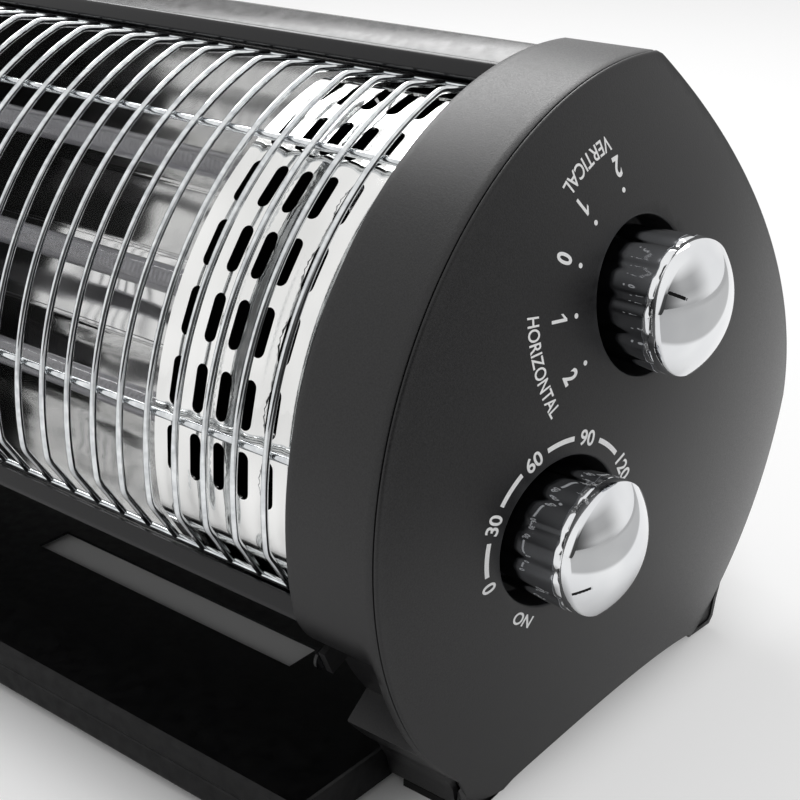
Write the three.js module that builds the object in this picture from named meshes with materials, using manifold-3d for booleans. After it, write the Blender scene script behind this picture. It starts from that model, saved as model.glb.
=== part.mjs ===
// Electric heater with a round body that lies on its side, its grille aimed up and forward.
// Millimetres. X runs along the body, control end at +X. The grille faces -Y. Z is up, and the
// origin is on the floor under the middle of the body's axis.
import * as THREE from 'three';
import { mergeVertices } from 'three/addons/utils/BufferGeometryUtils.js';
import Module from 'manifold-3d';

const wasm = await Module();
wasm.setup();
const degrees = THREE.MathUtils.degToRad;

// Body
const bodyRadius = 119;
const axisHeight = 106.4;
const aimAngle = degrees(33);
const clearance = 0.3;
const runningClearance = 0.4;

// End caps: a round band, cut by a shallow arc at the upper back, standing on two toes
const capInnerX = 266;
const capWidth = 31.5;
const capWall = 2.6;
const flangeThickness = 2.4;
const flangeReach = 21;
const backCutReach = 87;
const backCutRadius = 462;
const backCutNormal = degrees(36.7);
const archCrown = 86;
const archFall = 0.0045;
const toeAngle = degrees(47);
const toeInnerY = 58;
const toeOuterY = 75;
const archHalfWidth = 50;
const toeSplay = 3;
const toeEdge = 1.5;
const toeHeight = 8;
const toeFootThickness = 2.8;
const toeFootLength = 22;

// Recess low at the front of each band
const windowTopZ = -30;
const windowBottomZ = -72;
const windowWidth = 21.3;
const recessDepth = 11.6;

// Domed control cover with two knob wells
const coverSeam = 0.5;
const coverRim = 0.8;
const coverWall = 2.5;
const domeRadius = 345;
const knobForward = 43.9;
const knobSpread = 36;
const wellRadius = 23;
const wellWall = 2.4;
const wellFloorThickness = 2;
const wellDepth = 14;

// Knobs: chrome plated throughout, a fluted skirt under a domed cap
const knobRadius = 20.3;
const fluteDepth = 1.3;
const fluteCount = 12;
const skirtHeight = 23;
const knobLift = 1;
const capSide = 4.4;
const capRise = 9;
const pointerWidth = 1.3;
const pointerLength = 4.8;
const pointerDepth = 0.8;
const selectorZero = degrees(-94);
const timerZero = degrees(-141);
const shaftRadius = 3;
const shaftFlat = 2.2;
const shaftInSkirt = 14;
const bushRadius = 4.2;

// Guard of round wires
const guardRadius = 115;
const guardBend = degrees(38);
const guardWireRadius = 1.1;
const guardPitch = 12.12;
const guardWireCount = 43;
const legRear = 16.5;
const legDrop = 7.5;
const crossWireRadius = 1.3;
const crossWireAngle = degrees(23);

// Rails, reflector and shields
const railDepth = 17;
const railHeight = 6.6;
const railNose = 4.5;
const railChamfer = 3;
const sheetThickness = 0.8;
const reflectorSideU = -22;
const reflectorSideV = 63.5;
const reflectorHipU = 22;
const reflectorHipV = 48;
const reflectorBackU = 44;
const reflectorBackV = 20;
const shieldBehindGuard = 5;
const shieldLength = 62.1;
const shieldBendPastGuard = degrees(2);
const shieldFootU = 5;
const shieldFootV = 0.5;
const reflectorFootU = 7.5;
const reflectorUnderShield = 1;
const endWallThickness = 1;
const endWallFootU = 5.5;
const endWallFootV = 1.9;
const tubeHoleGap = 1;
const slotWidth = 3.8;
const slotLength = 14.7;
const slotPitchX = 9.7;
const slotColumns = 5;
const slotFirstInset = 7.8;
const slotRowPitch = degrees(11);
const slotRows = 7;
const slotLowestRow = degrees(-28.7);

// Quartz heating tubes in ceramic holders
const tubeRadius = 5;
const tubeWall = 1;
const tubeU = -49;
const tubeSpacing = 43.5;
const coilRadius = 3.4;
const coilShortfall = 12;
const holderRadius = 8.5;
const holderLength = 26;
const holderBase = 12;

// Rear shell, base tray and base cover
const shellThickness = 1;
const shellInset = 3.4;
const shellFrom = degrees(88);
const shellTo = degrees(-38);
const shellUnderRearY = 70;
const shellUnderFrontY = -12;
const shellNoseY = -60;
const shellNoseZ = -62;
const trayFrontY = -122;
const trayRearY = 48;
const trayLift = 2;
const trayThickness = 1.2;
const trayLipHeight = 18.5;
const trayEndHeight = 12;
const trayRearTurn = 4;
const trayRearRise = 6;
const traySlotCentreX = 128;
const traySlotLength = 141;
const traySlotWidth = 15;
const traySlotCentreY = -42.4;
const baseCoverDepth = 23;
const baseCoverWall = 3;
const baseFootRadius = 12;
const baseFootHeight = 8;
const baseFootInset = 27;
const baseFootAngles = {
  rear_upper: degrees(40), front_upper: degrees(140), front_lower: degrees(205),
  rear_lower: degrees(-25),
};

// Inside the ends
const cheekThickness = 1.2;
const cheekInset = 16;
const selectorSwitchSize = 34;
const timerSize = 46;
const switchFlatness = 0.72;
const tiltSwitch = { depth: 14, y: 19, z: -58, width: 22, height: 16 };
const terminalBlock = { depth: 12, y: 52, z: -12, width: 44, height: 16 };
const thermalCutout = { depth: 7, y: 44, z: 20, radius: 8 };
const tipSwitch = { width: 16, height: 28 };
const plungerY = 0;
const plungerZ = -40;
const plungerRadius = 4;
const plungerCollarRadius = 6.5;
const plungerStand = 4;
const plungerTravel = 5;
const plungerInside = 15;
const plungerCollarThickness = 2;
const glandAngle = -22;
const glandRadius = 8;
const glandShankRadius = 5;
const glandLength = 9;
const glandInside = 6;
const glandBoreRadius = 3;
const screwHeadRadius = 3.4;
const screwHeadHeight = 2.6;
const screwHeadSide = 1;
const screwInset = 5.5;
const screwAngle = degrees(203.6);
const screwLugRadius = 7.5;

// Places that follow from the sizes above
const capOuterX = capInnerX + capWidth;
const coverBaseX = capOuterX + coverSeam;
const domeRise = domeRadius - Math.sqrt(domeRadius ** 2 - bodyRadius ** 2);
const domeApexX = coverBaseX + coverRim + domeRise;
const sheetEndX = capInnerX - clearance;
const recessRadius = bodyRadius - recessDepth;
const cheekX = capInnerX + flangeThickness + clearance;
const cheekFaceX = cheekX + cheekThickness + clearance;
const holderEndX = cheekX - clearance;
const tubeHalfLength = holderEndX - holderBase - clearance;
const coilHalfLength = tubeHalfLength - coilShortfall;
const knobDistance = Math.hypot(knobForward, knobSpread);
const domeAtKnobX = domeApexX - domeRadius + Math.sqrt(domeRadius ** 2 - knobDistance ** 2);
const wellFloorX = domeAtKnobX - wellDepth;
const skirtX = wellFloorX + knobLift;
const knobCapX = skirtX + skirtHeight + clearance;
const soleZ = toeFootThickness + clearance - axisHeight;
const baseOuterX = coverBaseX + baseCoverDepth;
const shieldRadius = guardRadius - shieldBehindGuard;
const shieldBend = guardBend + shieldBendPastGuard;
const shieldStartX = sheetEndX - shieldLength;
const reflectorEndX = shieldStartX + reflectorUnderShield;
const legEndU = -guardRadius * Math.cos(guardBend) + legRear;
const legEndV = guardRadius * Math.sin(guardBend) + legDrop;
const railTopV = legEndV + crossWireRadius + clearance;

const finish = (color, roughness, metalness) =>
  new THREE.MeshStandardMaterial({ color, roughness, metalness });
const charcoalPlastic = finish(0x3a3a3d, 0.55, 0);
const blackPlastic = finish(0x0c0c0d, 0.2, 0);
const blackSteel = finish(0x0a0a0b, 0.25, 0);
const chrome = finish(0xdadcde, 0.08, 1);
const mirrorSteel = finish(0xd4d4d2, 0.12, 1);
const zincSteel = finish(0xa4a7aa, 0.4, 1);
const quartz = finish(0xd8dade, 0.1, 0);
const coilMetal = finish(0x6a6258, 0.5, 1);
const ceramic = finish(0xe6e0d2, 0.6, 0);
const rubber = finish(0x151515, 0.85, 0);
const switchPlastic = finish(0xd9d2bf, 0.5, 0);
const brass = finish(0xb08d4a, 0.35, 1);

// ---- Tools for solids

// A closed geometry as a solid: only positions are kept and triangles without area are dropped.
function toSolid(geometry) {
  const bare = geometry.clone();
  bare.deleteAttribute('normal');
  bare.deleteAttribute('uv');
  const merged = mergeVertices(bare, 1e-4);
  const kept = [];
  for (let i = 0; i < merged.index.count; i += 3) {
    const [a, b, c] = [0, 1, 2].map((k) => merged.index.getX(i + k));
    if (a !== b && b !== c && c !== a) kept.push(a, b, c);
  }
  return new wasm.Manifold(new wasm.Mesh({
    numProp: 3,
    vertProperties: new Float32Array(merged.attributes.position.array),
    triVerts: new Uint32Array(kept),
  }));
}

function toGeometry(solid) {
  const mesh = solid.getMesh();
  const geometry = new THREE.BufferGeometry();
  geometry.setAttribute('position', new THREE.BufferAttribute(mesh.vertProperties, 3));
  geometry.setIndex(new THREE.BufferAttribute(mesh.triVerts, 1));
  geometry.computeVertexNormals();
  return geometry;
}

const union = (solids) => solids.reduce((whole, solid) => whole.add(solid));

const acrossY = new THREE.Vector3(0, 1, 0);
const upZ = new THREE.Vector3(0, 0, 1);
const alongX = new THREE.Vector3(1, 0, 0);

// An outline of (y, z) points carried along X from x0 to x1.
function prism(outline, x0, x1) {
  const geometry = new THREE.ExtrudeGeometry(new THREE.Shape(outline), {
    depth: x1 - x0, bevelEnabled: false, curveSegments: 1,
  });
  geometry.applyMatrix4(new THREE.Matrix4().makeBasis(acrossY, upZ, alongX));
  geometry.translate(x0, 0, 0);
  return toSolid(geometry);
}

// A profile of (radius, x) points, from low x to high x, turned about a line along X at (y, z).
function turned(profile, y = 0, z = 0, sides = 24) {
  const points = profile.map(([radius, x]) => new THREE.Vector2(radius, x));
  const geometry = new THREE.LatheGeometry(points, sides);
  const down = upZ.clone().negate();
  geometry.applyMatrix4(new THREE.Matrix4().makeBasis(acrossY, alongX, down));
  geometry.translate(0, y, z);
  return toSolid(geometry);
}

const rod = (radius, x0, x1, y = 0, z = 0, sides = 24) =>
  turned([[0, x0], [radius, x0], [radius, x1], [0, x1]], y, z, sides);

function block(x0, x1, y0, y1, z0, z1) {
  const geometry = new THREE.BoxGeometry(x1 - x0, y1 - y0, z1 - z0);
  geometry.translate((x0 + x1) / 2, (y0 + y1) / 2, (z0 + z1) / 2);
  return toSolid(geometry);
}

const polar = (radius, angle) =>
  new THREE.Vector2(radius * Math.cos(angle), radius * Math.sin(angle));

// The outline of a sheet of even thickness whose middle follows a bent line.
function sheetOutline(line, thickness) {
  const side = (sign) => line.map((point, i) => {
    const before = line[Math.max(i - 1, 0)];
    const after = line[Math.min(i + 1, line.length - 1)];
    const into = point.clone().sub(before).normalize();
    const out = after.clone().sub(point).normalize();
    const first = i === 0 ? out : into;
    const last = i === line.length - 1 ? into : out;
    const normal = new THREE.Vector2(-first.y - last.y, first.x + last.x).normalize();
    const spread = Math.max(normal.dot(new THREE.Vector2(-first.y, first.x)), 0.4);
    return point.clone().addScaledVector(normal, sign * thickness / 2 / spread);
  });
  return [...side(-1), ...side(1).reverse()];
}

const sheet = (line, thickness, x0, x1) => prism(sheetOutline(line, thickness), x0, x1);

// A point of the aimed frame (u to the back of the grille, v up along it) in the level frame.
const level = (u, v) => new THREE.Vector2(u, v).rotateAround(new THREE.Vector2(), -aimAngle);

// ---- The scene: `heater` is level and centred on the axis, `aimed` is tilted back in it.
// `farEnd` and `aimedFarEnd` mirror what is built at the control end.

const part = new THREE.Group();
const heater = new THREE.Group();
heater.position.z = axisHeight;
part.add(heater);
const aimed = new THREE.Group();
aimed.rotation.x = -aimAngle;
heater.add(aimed);
const farEnd = new THREE.Group();
farEnd.scale.x = -1;
heater.add(farEnd);
const aimedFarEnd = new THREE.Group();
aimedFarEnd.scale.x = -1;
aimed.add(aimedFarEnd);

function add(name, solid, material, group) {
  const mesh = new THREE.Mesh(toGeometry(solid), material);
  mesh.name = name;
  group.add(mesh);
}

// ---- End caps

// Distance from the axis to the cap's edge: the circle, or the shallow arc of the upper back.
function capEdge(angle, inset) {
  const away = backCutReach - backCutRadius;
  const along = away * Math.cos(angle - backCutNormal);
  const arc = along + Math.sqrt(along ** 2 - away ** 2 + (backCutRadius - inset) ** 2);
  return Math.min(bodyRadius - inset, arc);
}

const archZ = (y) => -(archCrown + archFall * y * y);

// Half of the underside, from the middle of the arch to the outer side of a toe.
function underside(sign) {
  const arch = [0, 1 / 3, 2 / 3, 1].map((share) => archHalfWidth * share)
    .map((y) => [y, archZ(y)]);
  const rise = (archZ(archHalfWidth) - soleZ) / 2;
  const toe = [
    [toeInnerY - toeSplay, soleZ + rise], [toeInnerY, soleZ], [toeOuterY - toeEdge, soleZ],
    [toeOuterY, soleZ + toeEdge], [toeOuterY + toeEdge, soleZ + toeHeight],
  ];
  return [...arch, ...toe].map(([y, z]) => new THREE.Vector2(sign * y, z));
}

function capOutline() {
  const steps = 48;
  const around = [];
  for (let i = 0; i <= steps; i += 1) {
    const angle = -toeAngle + (Math.PI + 2 * toeAngle) * i / steps;
    around.push(polar(capEdge(angle, 0), angle));
  }
  return [...around, ...underside(-1).reverse(), ...underside(1).slice(1)];
}

// The same edge moved in by `inset`, flat over the arch and without toes.
function cavityOutline(inset) {
  const steps = 52;
  const floor = archCrown - inset;
  return Array.from({ length: steps }, (_, i) => {
    const angle = Math.PI * 2 * i / steps;
    const flat = floor / Math.max(-Math.sin(angle), 0.01);
    return polar(Math.min(capEdge(angle, inset), flat), angle);
  });
}

const screwPlace = polar(bodyRadius - screwInset, screwAngle);

// Band, inner flange and, low at the front, a recess that steps in from the band.
function capRing() {
  const windowX = capInnerX + flangeThickness + windowWidth;
  const reach = bodyRadius + 5;
  const band = prism(capOutline(), capInnerX, capOuterX)
    .subtract(prism(cavityOutline(capWall), capInnerX + flangeThickness, capOuterX + 1))
    .subtract(prism(cavityOutline(flangeReach), capInnerX - 1, capOuterX));
  const pocketWall = block(capInnerX, windowX + capWall, -reach, -flangeReach,
    windowBottomZ - capWall, windowTopZ + capWall)
    .intersect(prism(capOutline(), capInnerX, capOuterX))
    .subtract(rod(recessRadius - capWall, 0, capOuterX, 0, 0, 52));
  const pocket = block(capInnerX - 1, windowX, -reach, -flangeReach, windowBottomZ, windowTopZ)
    .subtract(rod(recessRadius, 0, capOuterX, 0, 0, 52));
  const screwLug = rod(screwLugRadius, capInnerX, capInnerX + flangeThickness,
    screwPlace.x, screwPlace.y, 20)
    .intersect(prism(capOutline(), capInnerX, capOuterX));
  return band.add(pocketWall).subtract(pocket).add(screwLug);
}

add('control_cap_ring', capRing(), charcoalPlastic, heater);

// The cord's gland points straight out of the far ring, low on its rounded back.
const glandX = capInnerX + flangeThickness + (capWidth - flangeThickness) / 2;
const atGland = (solid) => solid.rotate([0, 0, 90]).rotate([glandAngle, 0, 0])
  .translate([glandX, 0, 0]);
const glandHole = atGland(rod(glandShankRadius + clearance, bodyRadius / 2,
  bodyRadius + glandLength));
add('far_cap_ring', capRing().subtract(glandHole), charcoalPlastic, farEnd);

// Rubber pads under the four toes
function toeFoot(sign) {
  const middleX = (capInnerX + capOuterX) / 2;
  const y = sign * (toeInnerY + toeOuterY - toeEdge) / 2;
  const halfWidth = (toeOuterY - toeEdge - toeInnerY) / 2;
  const outline = [
    [-halfWidth, clearance], [-halfWidth + 1, 0], [halfWidth - 1, 0], [halfWidth, clearance],
    [halfWidth, toeFootThickness], [-halfWidth, toeFootThickness],
  ].map(([across, up]) => new THREE.Vector2(y + across, up - axisHeight));
  return prism(outline, middleX - toeFootLength / 2, middleX + toeFootLength / 2);
}
add('control_front_foot', toeFoot(-1), rubber, heater);
add('control_rear_foot', toeFoot(1), rubber, heater);
add('far_front_foot', toeFoot(-1), rubber, farEnd);
add('far_rear_foot', toeFoot(1), rubber, farEnd);

// ---- Control cover

const knobPlace = (side) => level(-knobForward, side * knobSpread);

function dome(depth, sides) {
  const radius = domeRadius - depth;
  const rings = 5;
  const profile = [[0, coverBaseX - depth], [bodyRadius + 4, coverBaseX - depth]];
  for (let i = rings; i >= 0; i -= 1) {
    const r = (bodyRadius + 4) * i / rings;
    profile.push([r, domeApexX - domeRadius + Math.sqrt(radius ** 2 - r ** 2)]);
  }
  return turned(profile, 0, 0, sides);
}

function controlCover() {
  const sides = 44;
  const outside = dome(0, sides);
  let cover = outside.subtract(dome(coverWall, sides))
    .intersect(prism(capOutline(), coverBaseX, domeApexX + 1));
  for (const side of [-1, 1]) {
    const { x: y, y: z } = knobPlace(side);
    const cup = rod(wellRadius + wellWall, wellFloorX - wellFloorThickness, domeApexX, y, z, 40);
    cover = cover.add(cup.intersect(outside));
  }
  for (const side of [-1, 1]) {
    const { x: y, y: z } = knobPlace(side);
    cover = cover.subtract(rod(wellRadius, wellFloorX, domeApexX + 9, y, z, 40))
      .subtract(rod(bushRadius + clearance, coverBaseX - 9, domeApexX, y, z, 16));
  }
  return cover;
}
add('control_cover', controlCover(), charcoalPlastic, heater);

// ---- Knobs, in groups that stand on their spindles

function flutedOutline(radius, inset = 0) {
  const points = fluteCount * 4;
  return Array.from({ length: points }, (_, i) => {
    const angle = Math.PI * 2 * i / points;
    const swell = Math.abs(Math.cos(angle * fluteCount / 2));
    return polar(radius - inset - fluteDepth * (1 - swell), angle);
  });
}

function knobSkirt() {
  return prism(flutedOutline(knobRadius), skirtX, skirtX + skirtHeight)
    .subtract(rod(shaftRadius + clearance, skirtX - 1, skirtX + shaftInSkirt + clearance));
}

// Fluted side and a smooth dome with a pointer groove towards -Y.
function knobCap() {
  const rise = (capRise ** 2 + knobRadius ** 2) / (2 * capRise);
  const topX = knobCapX + capSide + capRise;
  const profile = [[0, knobCapX - 1], [knobRadius + 1, knobCapX - 1]];
  const rings = 5;
  for (let i = rings; i >= 0; i -= 1) {
    const r = (knobRadius + 1) * i / rings;
    profile.push([r, topX - rise + Math.sqrt(rise ** 2 - r ** 2)]);
  }
  const groove = block(knobCapX + capSide, topX, -knobRadius, pointerLength - knobRadius,
    -pointerWidth / 2, pointerWidth / 2)
    .subtract(turned(profile.map(([r, x]) => [r, x - pointerDepth]), 0, 0, 36));
  return prism(flutedOutline(knobRadius), knobCapX, topX + 1)
    .intersect(turned(profile, 0, 0, 36))
    .subtract(groove);
}

// Spindle with a flat, from inside its switch to near the top of the skirt's bore.
function knobShaft() {
  const startX = wellFloorX - wellFloorThickness - clearance;
  const endX = skirtX + shaftInSkirt;
  return rod(shaftRadius, startX, endX, 0, 0, 20)
    .subtract(block(skirtX, endX + 1, -shaftRadius * 2, shaftRadius * 2, shaftFlat, shaftRadius * 2));
}

function addKnob(name, side, zero) {
  const stand = new THREE.Group();
  stand.position.set(0, -knobForward, side * knobSpread);
  stand.rotation.x = -Math.PI / 2 - zero;
  aimed.add(stand);
  add(name + '_knob_skirt', knobSkirt(), chrome, stand);
  add(name + '_knob_cap', knobCap(), chrome, stand);
  add(name + '_shaft', knobShaft(), zincSteel, stand);
}
addKnob('selector', 1, selectorZero);
addKnob('timer', -1, timerZero);

// What the spindles turn in: each has a threaded bush behind the floor of its well.
function knobSwitch(size, side) {
  const frontX = wellFloorX - wellFloorThickness - 2 * clearance;
  const half = size / 2;
  return block(cheekFaceX, frontX,
    -knobForward - half, -knobForward + half,
    side * knobSpread - half * switchFlatness, side * knobSpread + half * switchFlatness);
}
add('selector_switch', knobSwitch(selectorSwitchSize, 1), switchPlastic, aimed);
add('timer_movement', knobSwitch(timerSize, -1), switchPlastic, aimed);

// ---- Wire guard

// One wire across the body: a leg, the arc in front of the tubes and a leg. Its section is the
// square whose area equals the round wire's.
function guardWire(x) {
  const steps = 7;
  const half = guardWireRadius * Math.sqrt(Math.PI) / 2;
  const arc = Array.from({ length: steps + 1 }, (_, i) => {
    const angle = (2 * i / steps - 1) * guardBend;
    return new THREE.Vector2(-guardRadius * Math.cos(angle), guardRadius * Math.sin(angle));
  });
  const legEnd = (side) => new THREE.Vector2(legEndU, side * legEndV);
  return sheet([legEnd(-1), ...arc, legEnd(1)], 2 * half, x - half, x + half);
}

function wireGuard() {
  const wires = [];
  for (let i = 0; i < guardWireCount; i += 1) {
    wires.push(guardWire((i - (guardWireCount - 1) / 2) * guardPitch));
  }
  const inside = guardRadius - guardWireRadius - crossWireRadius / 2;
  const lines = [-1, 1].flatMap((side) => [
    [-inside * Math.cos(crossWireAngle), side * inside * Math.sin(crossWireAngle)],
    [legEndU, side * legEndV],
  ]);
  const crossWires = lines.map(([u, v]) =>
    rod(crossWireRadius, -sheetEndX, sheetEndX, u, v, 4));
  return union([...crossWires, ...wires]);
}
add('wire_guard', wireGuard(), chrome, aimed);

// ---- Rails, reflector, shields

// The wire ends rest on the rail; its front edge is turned under.
function rail(side) {
  const outer = legEndU - railNose;
  const bottomV = railTopV + railHeight;
  return prism([
    [outer, railTopV], [outer + railDepth, railTopV], [outer + railDepth, bottomV],
    [outer + railChamfer, bottomV], [outer, bottomV - railChamfer],
  ].map(([u, v]) => new THREE.Vector2(u, side * v)), -sheetEndX, sheetEndX);
}
add('bottom_rail', rail(-1), blackSteel, aimed);
add('top_rail', rail(1), blackSteel, aimed);

// Folded mirror sheet, the same above and below the middle, lying on the rails. Its ends are
// hidden by the shields.
function reflector() {
  const lipV = railTopV - clearance - sheetThickness / 2;
  const half = [
    [legEndU + reflectorFootU, lipV], [reflectorSideU, reflectorSideV],
    [reflectorHipU, reflectorHipV], [reflectorBackU, reflectorBackV],
  ];
  const line = [
    ...half.map(([u, v]) => new THREE.Vector2(u, -v)),
    ...half.map(([u, v]) => new THREE.Vector2(u, v)).reverse(),
  ];
  return sheet(line, sheetThickness, -reflectorEndX, reflectorEndX);
}
add('reflector', reflector(), mirrorSteel, aimed);

// The shield's front from leg to leg, as an arc at a radius.
function shieldArc(radius) {
  const steps = 9;
  return Array.from({ length: steps + 1 }, (_, i) => {
    const angle = (2 * i / steps - 1) * shieldBend;
    return new THREE.Vector2(-radius * Math.cos(angle), radius * Math.sin(angle));
  });
}

// Black plate that closes an end of the trough under the shield, with a hole for each tube.
function endWall() {
  const startX = reflectorEndX + clearance;
  const endX = startX + endWallThickness;
  const back = [
    [legEndU + endWallFootU, legEndV - endWallFootV], [reflectorSideU, reflectorSideV],
    [reflectorHipU, reflectorHipV], [reflectorBackU, reflectorBackV],
  ];
  const outline = [
    ...shieldArc(shieldRadius - sheetThickness - clearance),
    ...back.map(([u, v]) => new THREE.Vector2(u, v)),
    ...back.map(([u, v]) => new THREE.Vector2(u, -v)).reverse(),
  ];
  const holes = [-tubeSpacing, 0, tubeSpacing].map((v) =>
    rod(tubeRadius + tubeHoleGap, startX - 1, endX + 1, tubeU, v, 16));
  return prism(outline, startX, endX).subtract(union(holes));
}
add('control_end_wall', endWall(), blackSteel, aimed);
add('far_end_wall', endWall(), blackSteel, aimedFarEnd);

function slot(x, angle) {
  const half = (slotLength - slotWidth) / 2;
  const end = slotWidth / 2;
  const outline = [];
  for (const [side, start] of [[1, 0], [-1, Math.PI]]) {
    for (const turn of [0, Math.PI / 2, Math.PI]) {
      outline.push(polar(end, start + turn).add(new THREE.Vector2(0, side * half)));
    }
  }
  const cutter = new THREE.ExtrudeGeometry(new THREE.Shape(outline), {
    depth: 8, bevelEnabled: false,
  });
  const lengthwise = new THREE.Matrix4().makeBasis(alongX, upZ, acrossY.clone().negate());
  cutter.applyMatrix4(lengthwise);
  cutter.translate(x, 4 - shieldRadius, 0);
  cutter.rotateX(-angle);
  return toSolid(cutter);
}

// Curved end shield that hides the tube holders: arc, legs like the guard's, rows of slots.
function shield() {
  const legFoot = (side) => new THREE.Vector2(legEndU + shieldFootU, side * (legEndV - shieldFootV));
  const line = [legFoot(-1), ...shieldArc(shieldRadius - sheetThickness / 2), legFoot(1)];
  const slots = [];
  for (let column = 0; column < slotColumns; column += 1) {
    for (let row = 0; row < slotRows; row += 1) {
      slots.push(slot(shieldStartX + slotFirstInset + column * slotPitchX,
        slotLowestRow + row * slotRowPitch));
    }
  }
  return sheet(line, sheetThickness, shieldStartX, sheetEndX).subtract(union(slots));
}
add('control_shield', shield(), mirrorSteel, aimed);
add('far_shield', shield(), mirrorSteel, aimedFarEnd);

// ---- Quartz tubes, coils and ceramic holders

function quartzTube(v) {
  const ends = [-tubeHalfLength, tubeHalfLength];
  const inner = tubeRadius - tubeWall;
  return rod(tubeRadius, ...ends, tubeU, v, 16)
    .subtract(rod(inner, ends[0] - 1, ends[1] + 1, tubeU, v, 16));
}

// Ceramic end piece on the cheek: the tube's end sits in its bore.
function holder(v) {
  const startX = holderEndX - holderLength;
  const bore = tubeRadius + clearance;
  return rod(holderRadius, startX, holderEndX, tubeU, v, 16)
    .subtract(rod(bore, startX - 1, holderEndX - holderBase, tubeU, v, 16));
}

['lower', 'middle', 'upper'].forEach((place, i) => {
  const v = (i - 1) * tubeSpacing;
  add(place + '_quartz_tube', quartzTube(v), quartz, aimed);
  add(place + '_heating_coil', rod(coilRadius, -coilHalfLength, coilHalfLength, tubeU, v, 10),
    coilMetal, aimed);
  add(place + '_control_holder', holder(v), ceramic, aimed);
  add(place + '_far_holder', holder(v), ceramic, aimedFarEnd);
});

// Steel cheeks close the tube space at both ends, inside the caps.
function cheek() {
  const steps = 40;
  const outline = Array.from({ length: steps }, (_, i) => {
    const angle = Math.PI * 2 * i / steps;
    const flat = (archCrown - capWall - 1) / Math.max(-Math.sin(angle), 0.01);
    const edge = Math.min(bodyRadius - cheekInset, capEdge(angle, capWall + 1), flat);
    return polar(edge, angle);
  });
  return prism(outline, cheekX, cheekX + cheekThickness);
}
add('control_cheek', cheek(), blackSteel, heater);
add('far_cheek', cheek(), blackSteel, farEnd);

// ---- Rear shell and base tray

// Sheet from the top rail over the back and under the reflector to the bottom rail.
function rearShell() {
  const railBackU = legEndU - railNose + railDepth + clearance;
  const top = level(railBackU - 6, railTopV + railHeight + clearance + shellThickness / 2);
  const bottom = level(railBackU + shellThickness / 2, -railTopV - railHeight / 2);
  const line = [top];
  const steps = 18;
  for (let i = 0; i <= steps; i += 1) {
    const angle = shellFrom + (shellTo - shellFrom) * i / steps;
    line.push(polar(capEdge(angle, shellInset), angle));
  }
  const underZ = -archCrown + shellInset + capWall;
  line.push(new THREE.Vector2(shellUnderRearY, underZ));
  line.push(new THREE.Vector2(shellUnderFrontY, underZ));
  line.push(new THREE.Vector2(shellNoseY, shellNoseZ), bottom);
  return sheet(line, shellThickness, -sheetEndX, sheetEndX);
}
add('rear_shell', rearShell(), blackSteel, heater);

// Pan just over the floor between the caps, with a front lip, low ends and two long slots.
function baseTray() {
  const floorZ = trayLift - axisHeight;
  const top = floorZ + trayThickness;
  const middle = floorZ + trayThickness / 2;
  const line = [
    [trayFrontY + 1.6, floorZ + trayLipHeight], [trayFrontY, floorZ + trayLipHeight - 1],
    [trayFrontY, middle], [trayRearY, middle], [trayRearY + trayRearTurn, middle + trayRearRise],
  ].map(([y, z]) => new THREE.Vector2(y, z));
  let tray = sheet(line, trayThickness, -sheetEndX, sheetEndX);
  for (const side of [-1, 1]) {
    const endX = side * sheetEndX;
    const inX = endX - side * trayThickness;
    const middleX = side * traySlotCentreX;
    tray = tray
      .add(block(Math.min(endX, inX), Math.max(endX, inX), trayFrontY, trayRearY, middle,
        middle + trayEndHeight))
      .subtract(block(middleX - traySlotLength / 2, middleX + traySlotLength / 2,
        traySlotCentreY - traySlotWidth / 2, traySlotCentreY + traySlotWidth / 2,
        floorZ - 1, top + 1));
  }
  return tray;
}
add('base_tray', baseTray(), blackSteel, heater);

// ---- Base cover at the far end, on which the heater stands upright

function baseCover() {
  return prism(capOutline(), coverBaseX, baseOuterX)
    .subtract(prism(cavityOutline(capWall * 2), coverBaseX - 1, baseOuterX - baseCoverWall))
    .subtract(rod(plungerRadius + runningClearance, coverBaseX - 1, baseOuterX + 1,
      plungerY, plungerZ, 16));
}
add('base_cover', baseCover(), charcoalPlastic, farEnd);

Object.entries(baseFootAngles).forEach(([place, angle]) => {
  const spot = polar(capEdge(angle, 0) - baseFootInset, angle);
  const top = baseOuterX + clearance;
  add('base_foot_' + place, turned([
    [0, top], [baseFootRadius, top], [baseFootRadius, top + baseFootHeight - 1],
    [baseFootRadius - 1, top + baseFootHeight], [0, top + baseFootHeight],
  ], spot.x, spot.y, 20), rubber, farEnd);
});

// Sprung plunger that the floor pushes in when the heater stands upright, and its switch.
const plungerEndX = baseOuterX + clearance + baseFootHeight + plungerStand;
const plungerStartX = baseOuterX - plungerInside;
const collarX = baseOuterX - baseCoverWall - clearance;
add('tip_plunger', turned([
  [0, plungerStartX], [plungerRadius, plungerStartX],
  [plungerRadius, collarX - plungerCollarThickness],
  [plungerCollarRadius, collarX - plungerCollarThickness],
  [plungerCollarRadius, collarX], [plungerRadius, collarX],
  [plungerRadius, plungerEndX - 2], [plungerRadius / 2, plungerEndX], [0, plungerEndX],
], plungerY, plungerZ, 16), switchPlastic, farEnd);
const tipSwitchX = plungerStartX - plungerTravel - clearance;
add('tip_switch', block(cheekFaceX, tipSwitchX,
  plungerY - tipSwitch.width / 2, plungerY + tipSwitch.width / 2,
  plungerZ - tipSwitch.height / 2, plungerZ + tipSwitch.height / 2), blackPlastic, farEnd);

// ---- Small parts on the control cheek and at the cord's inlet

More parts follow.
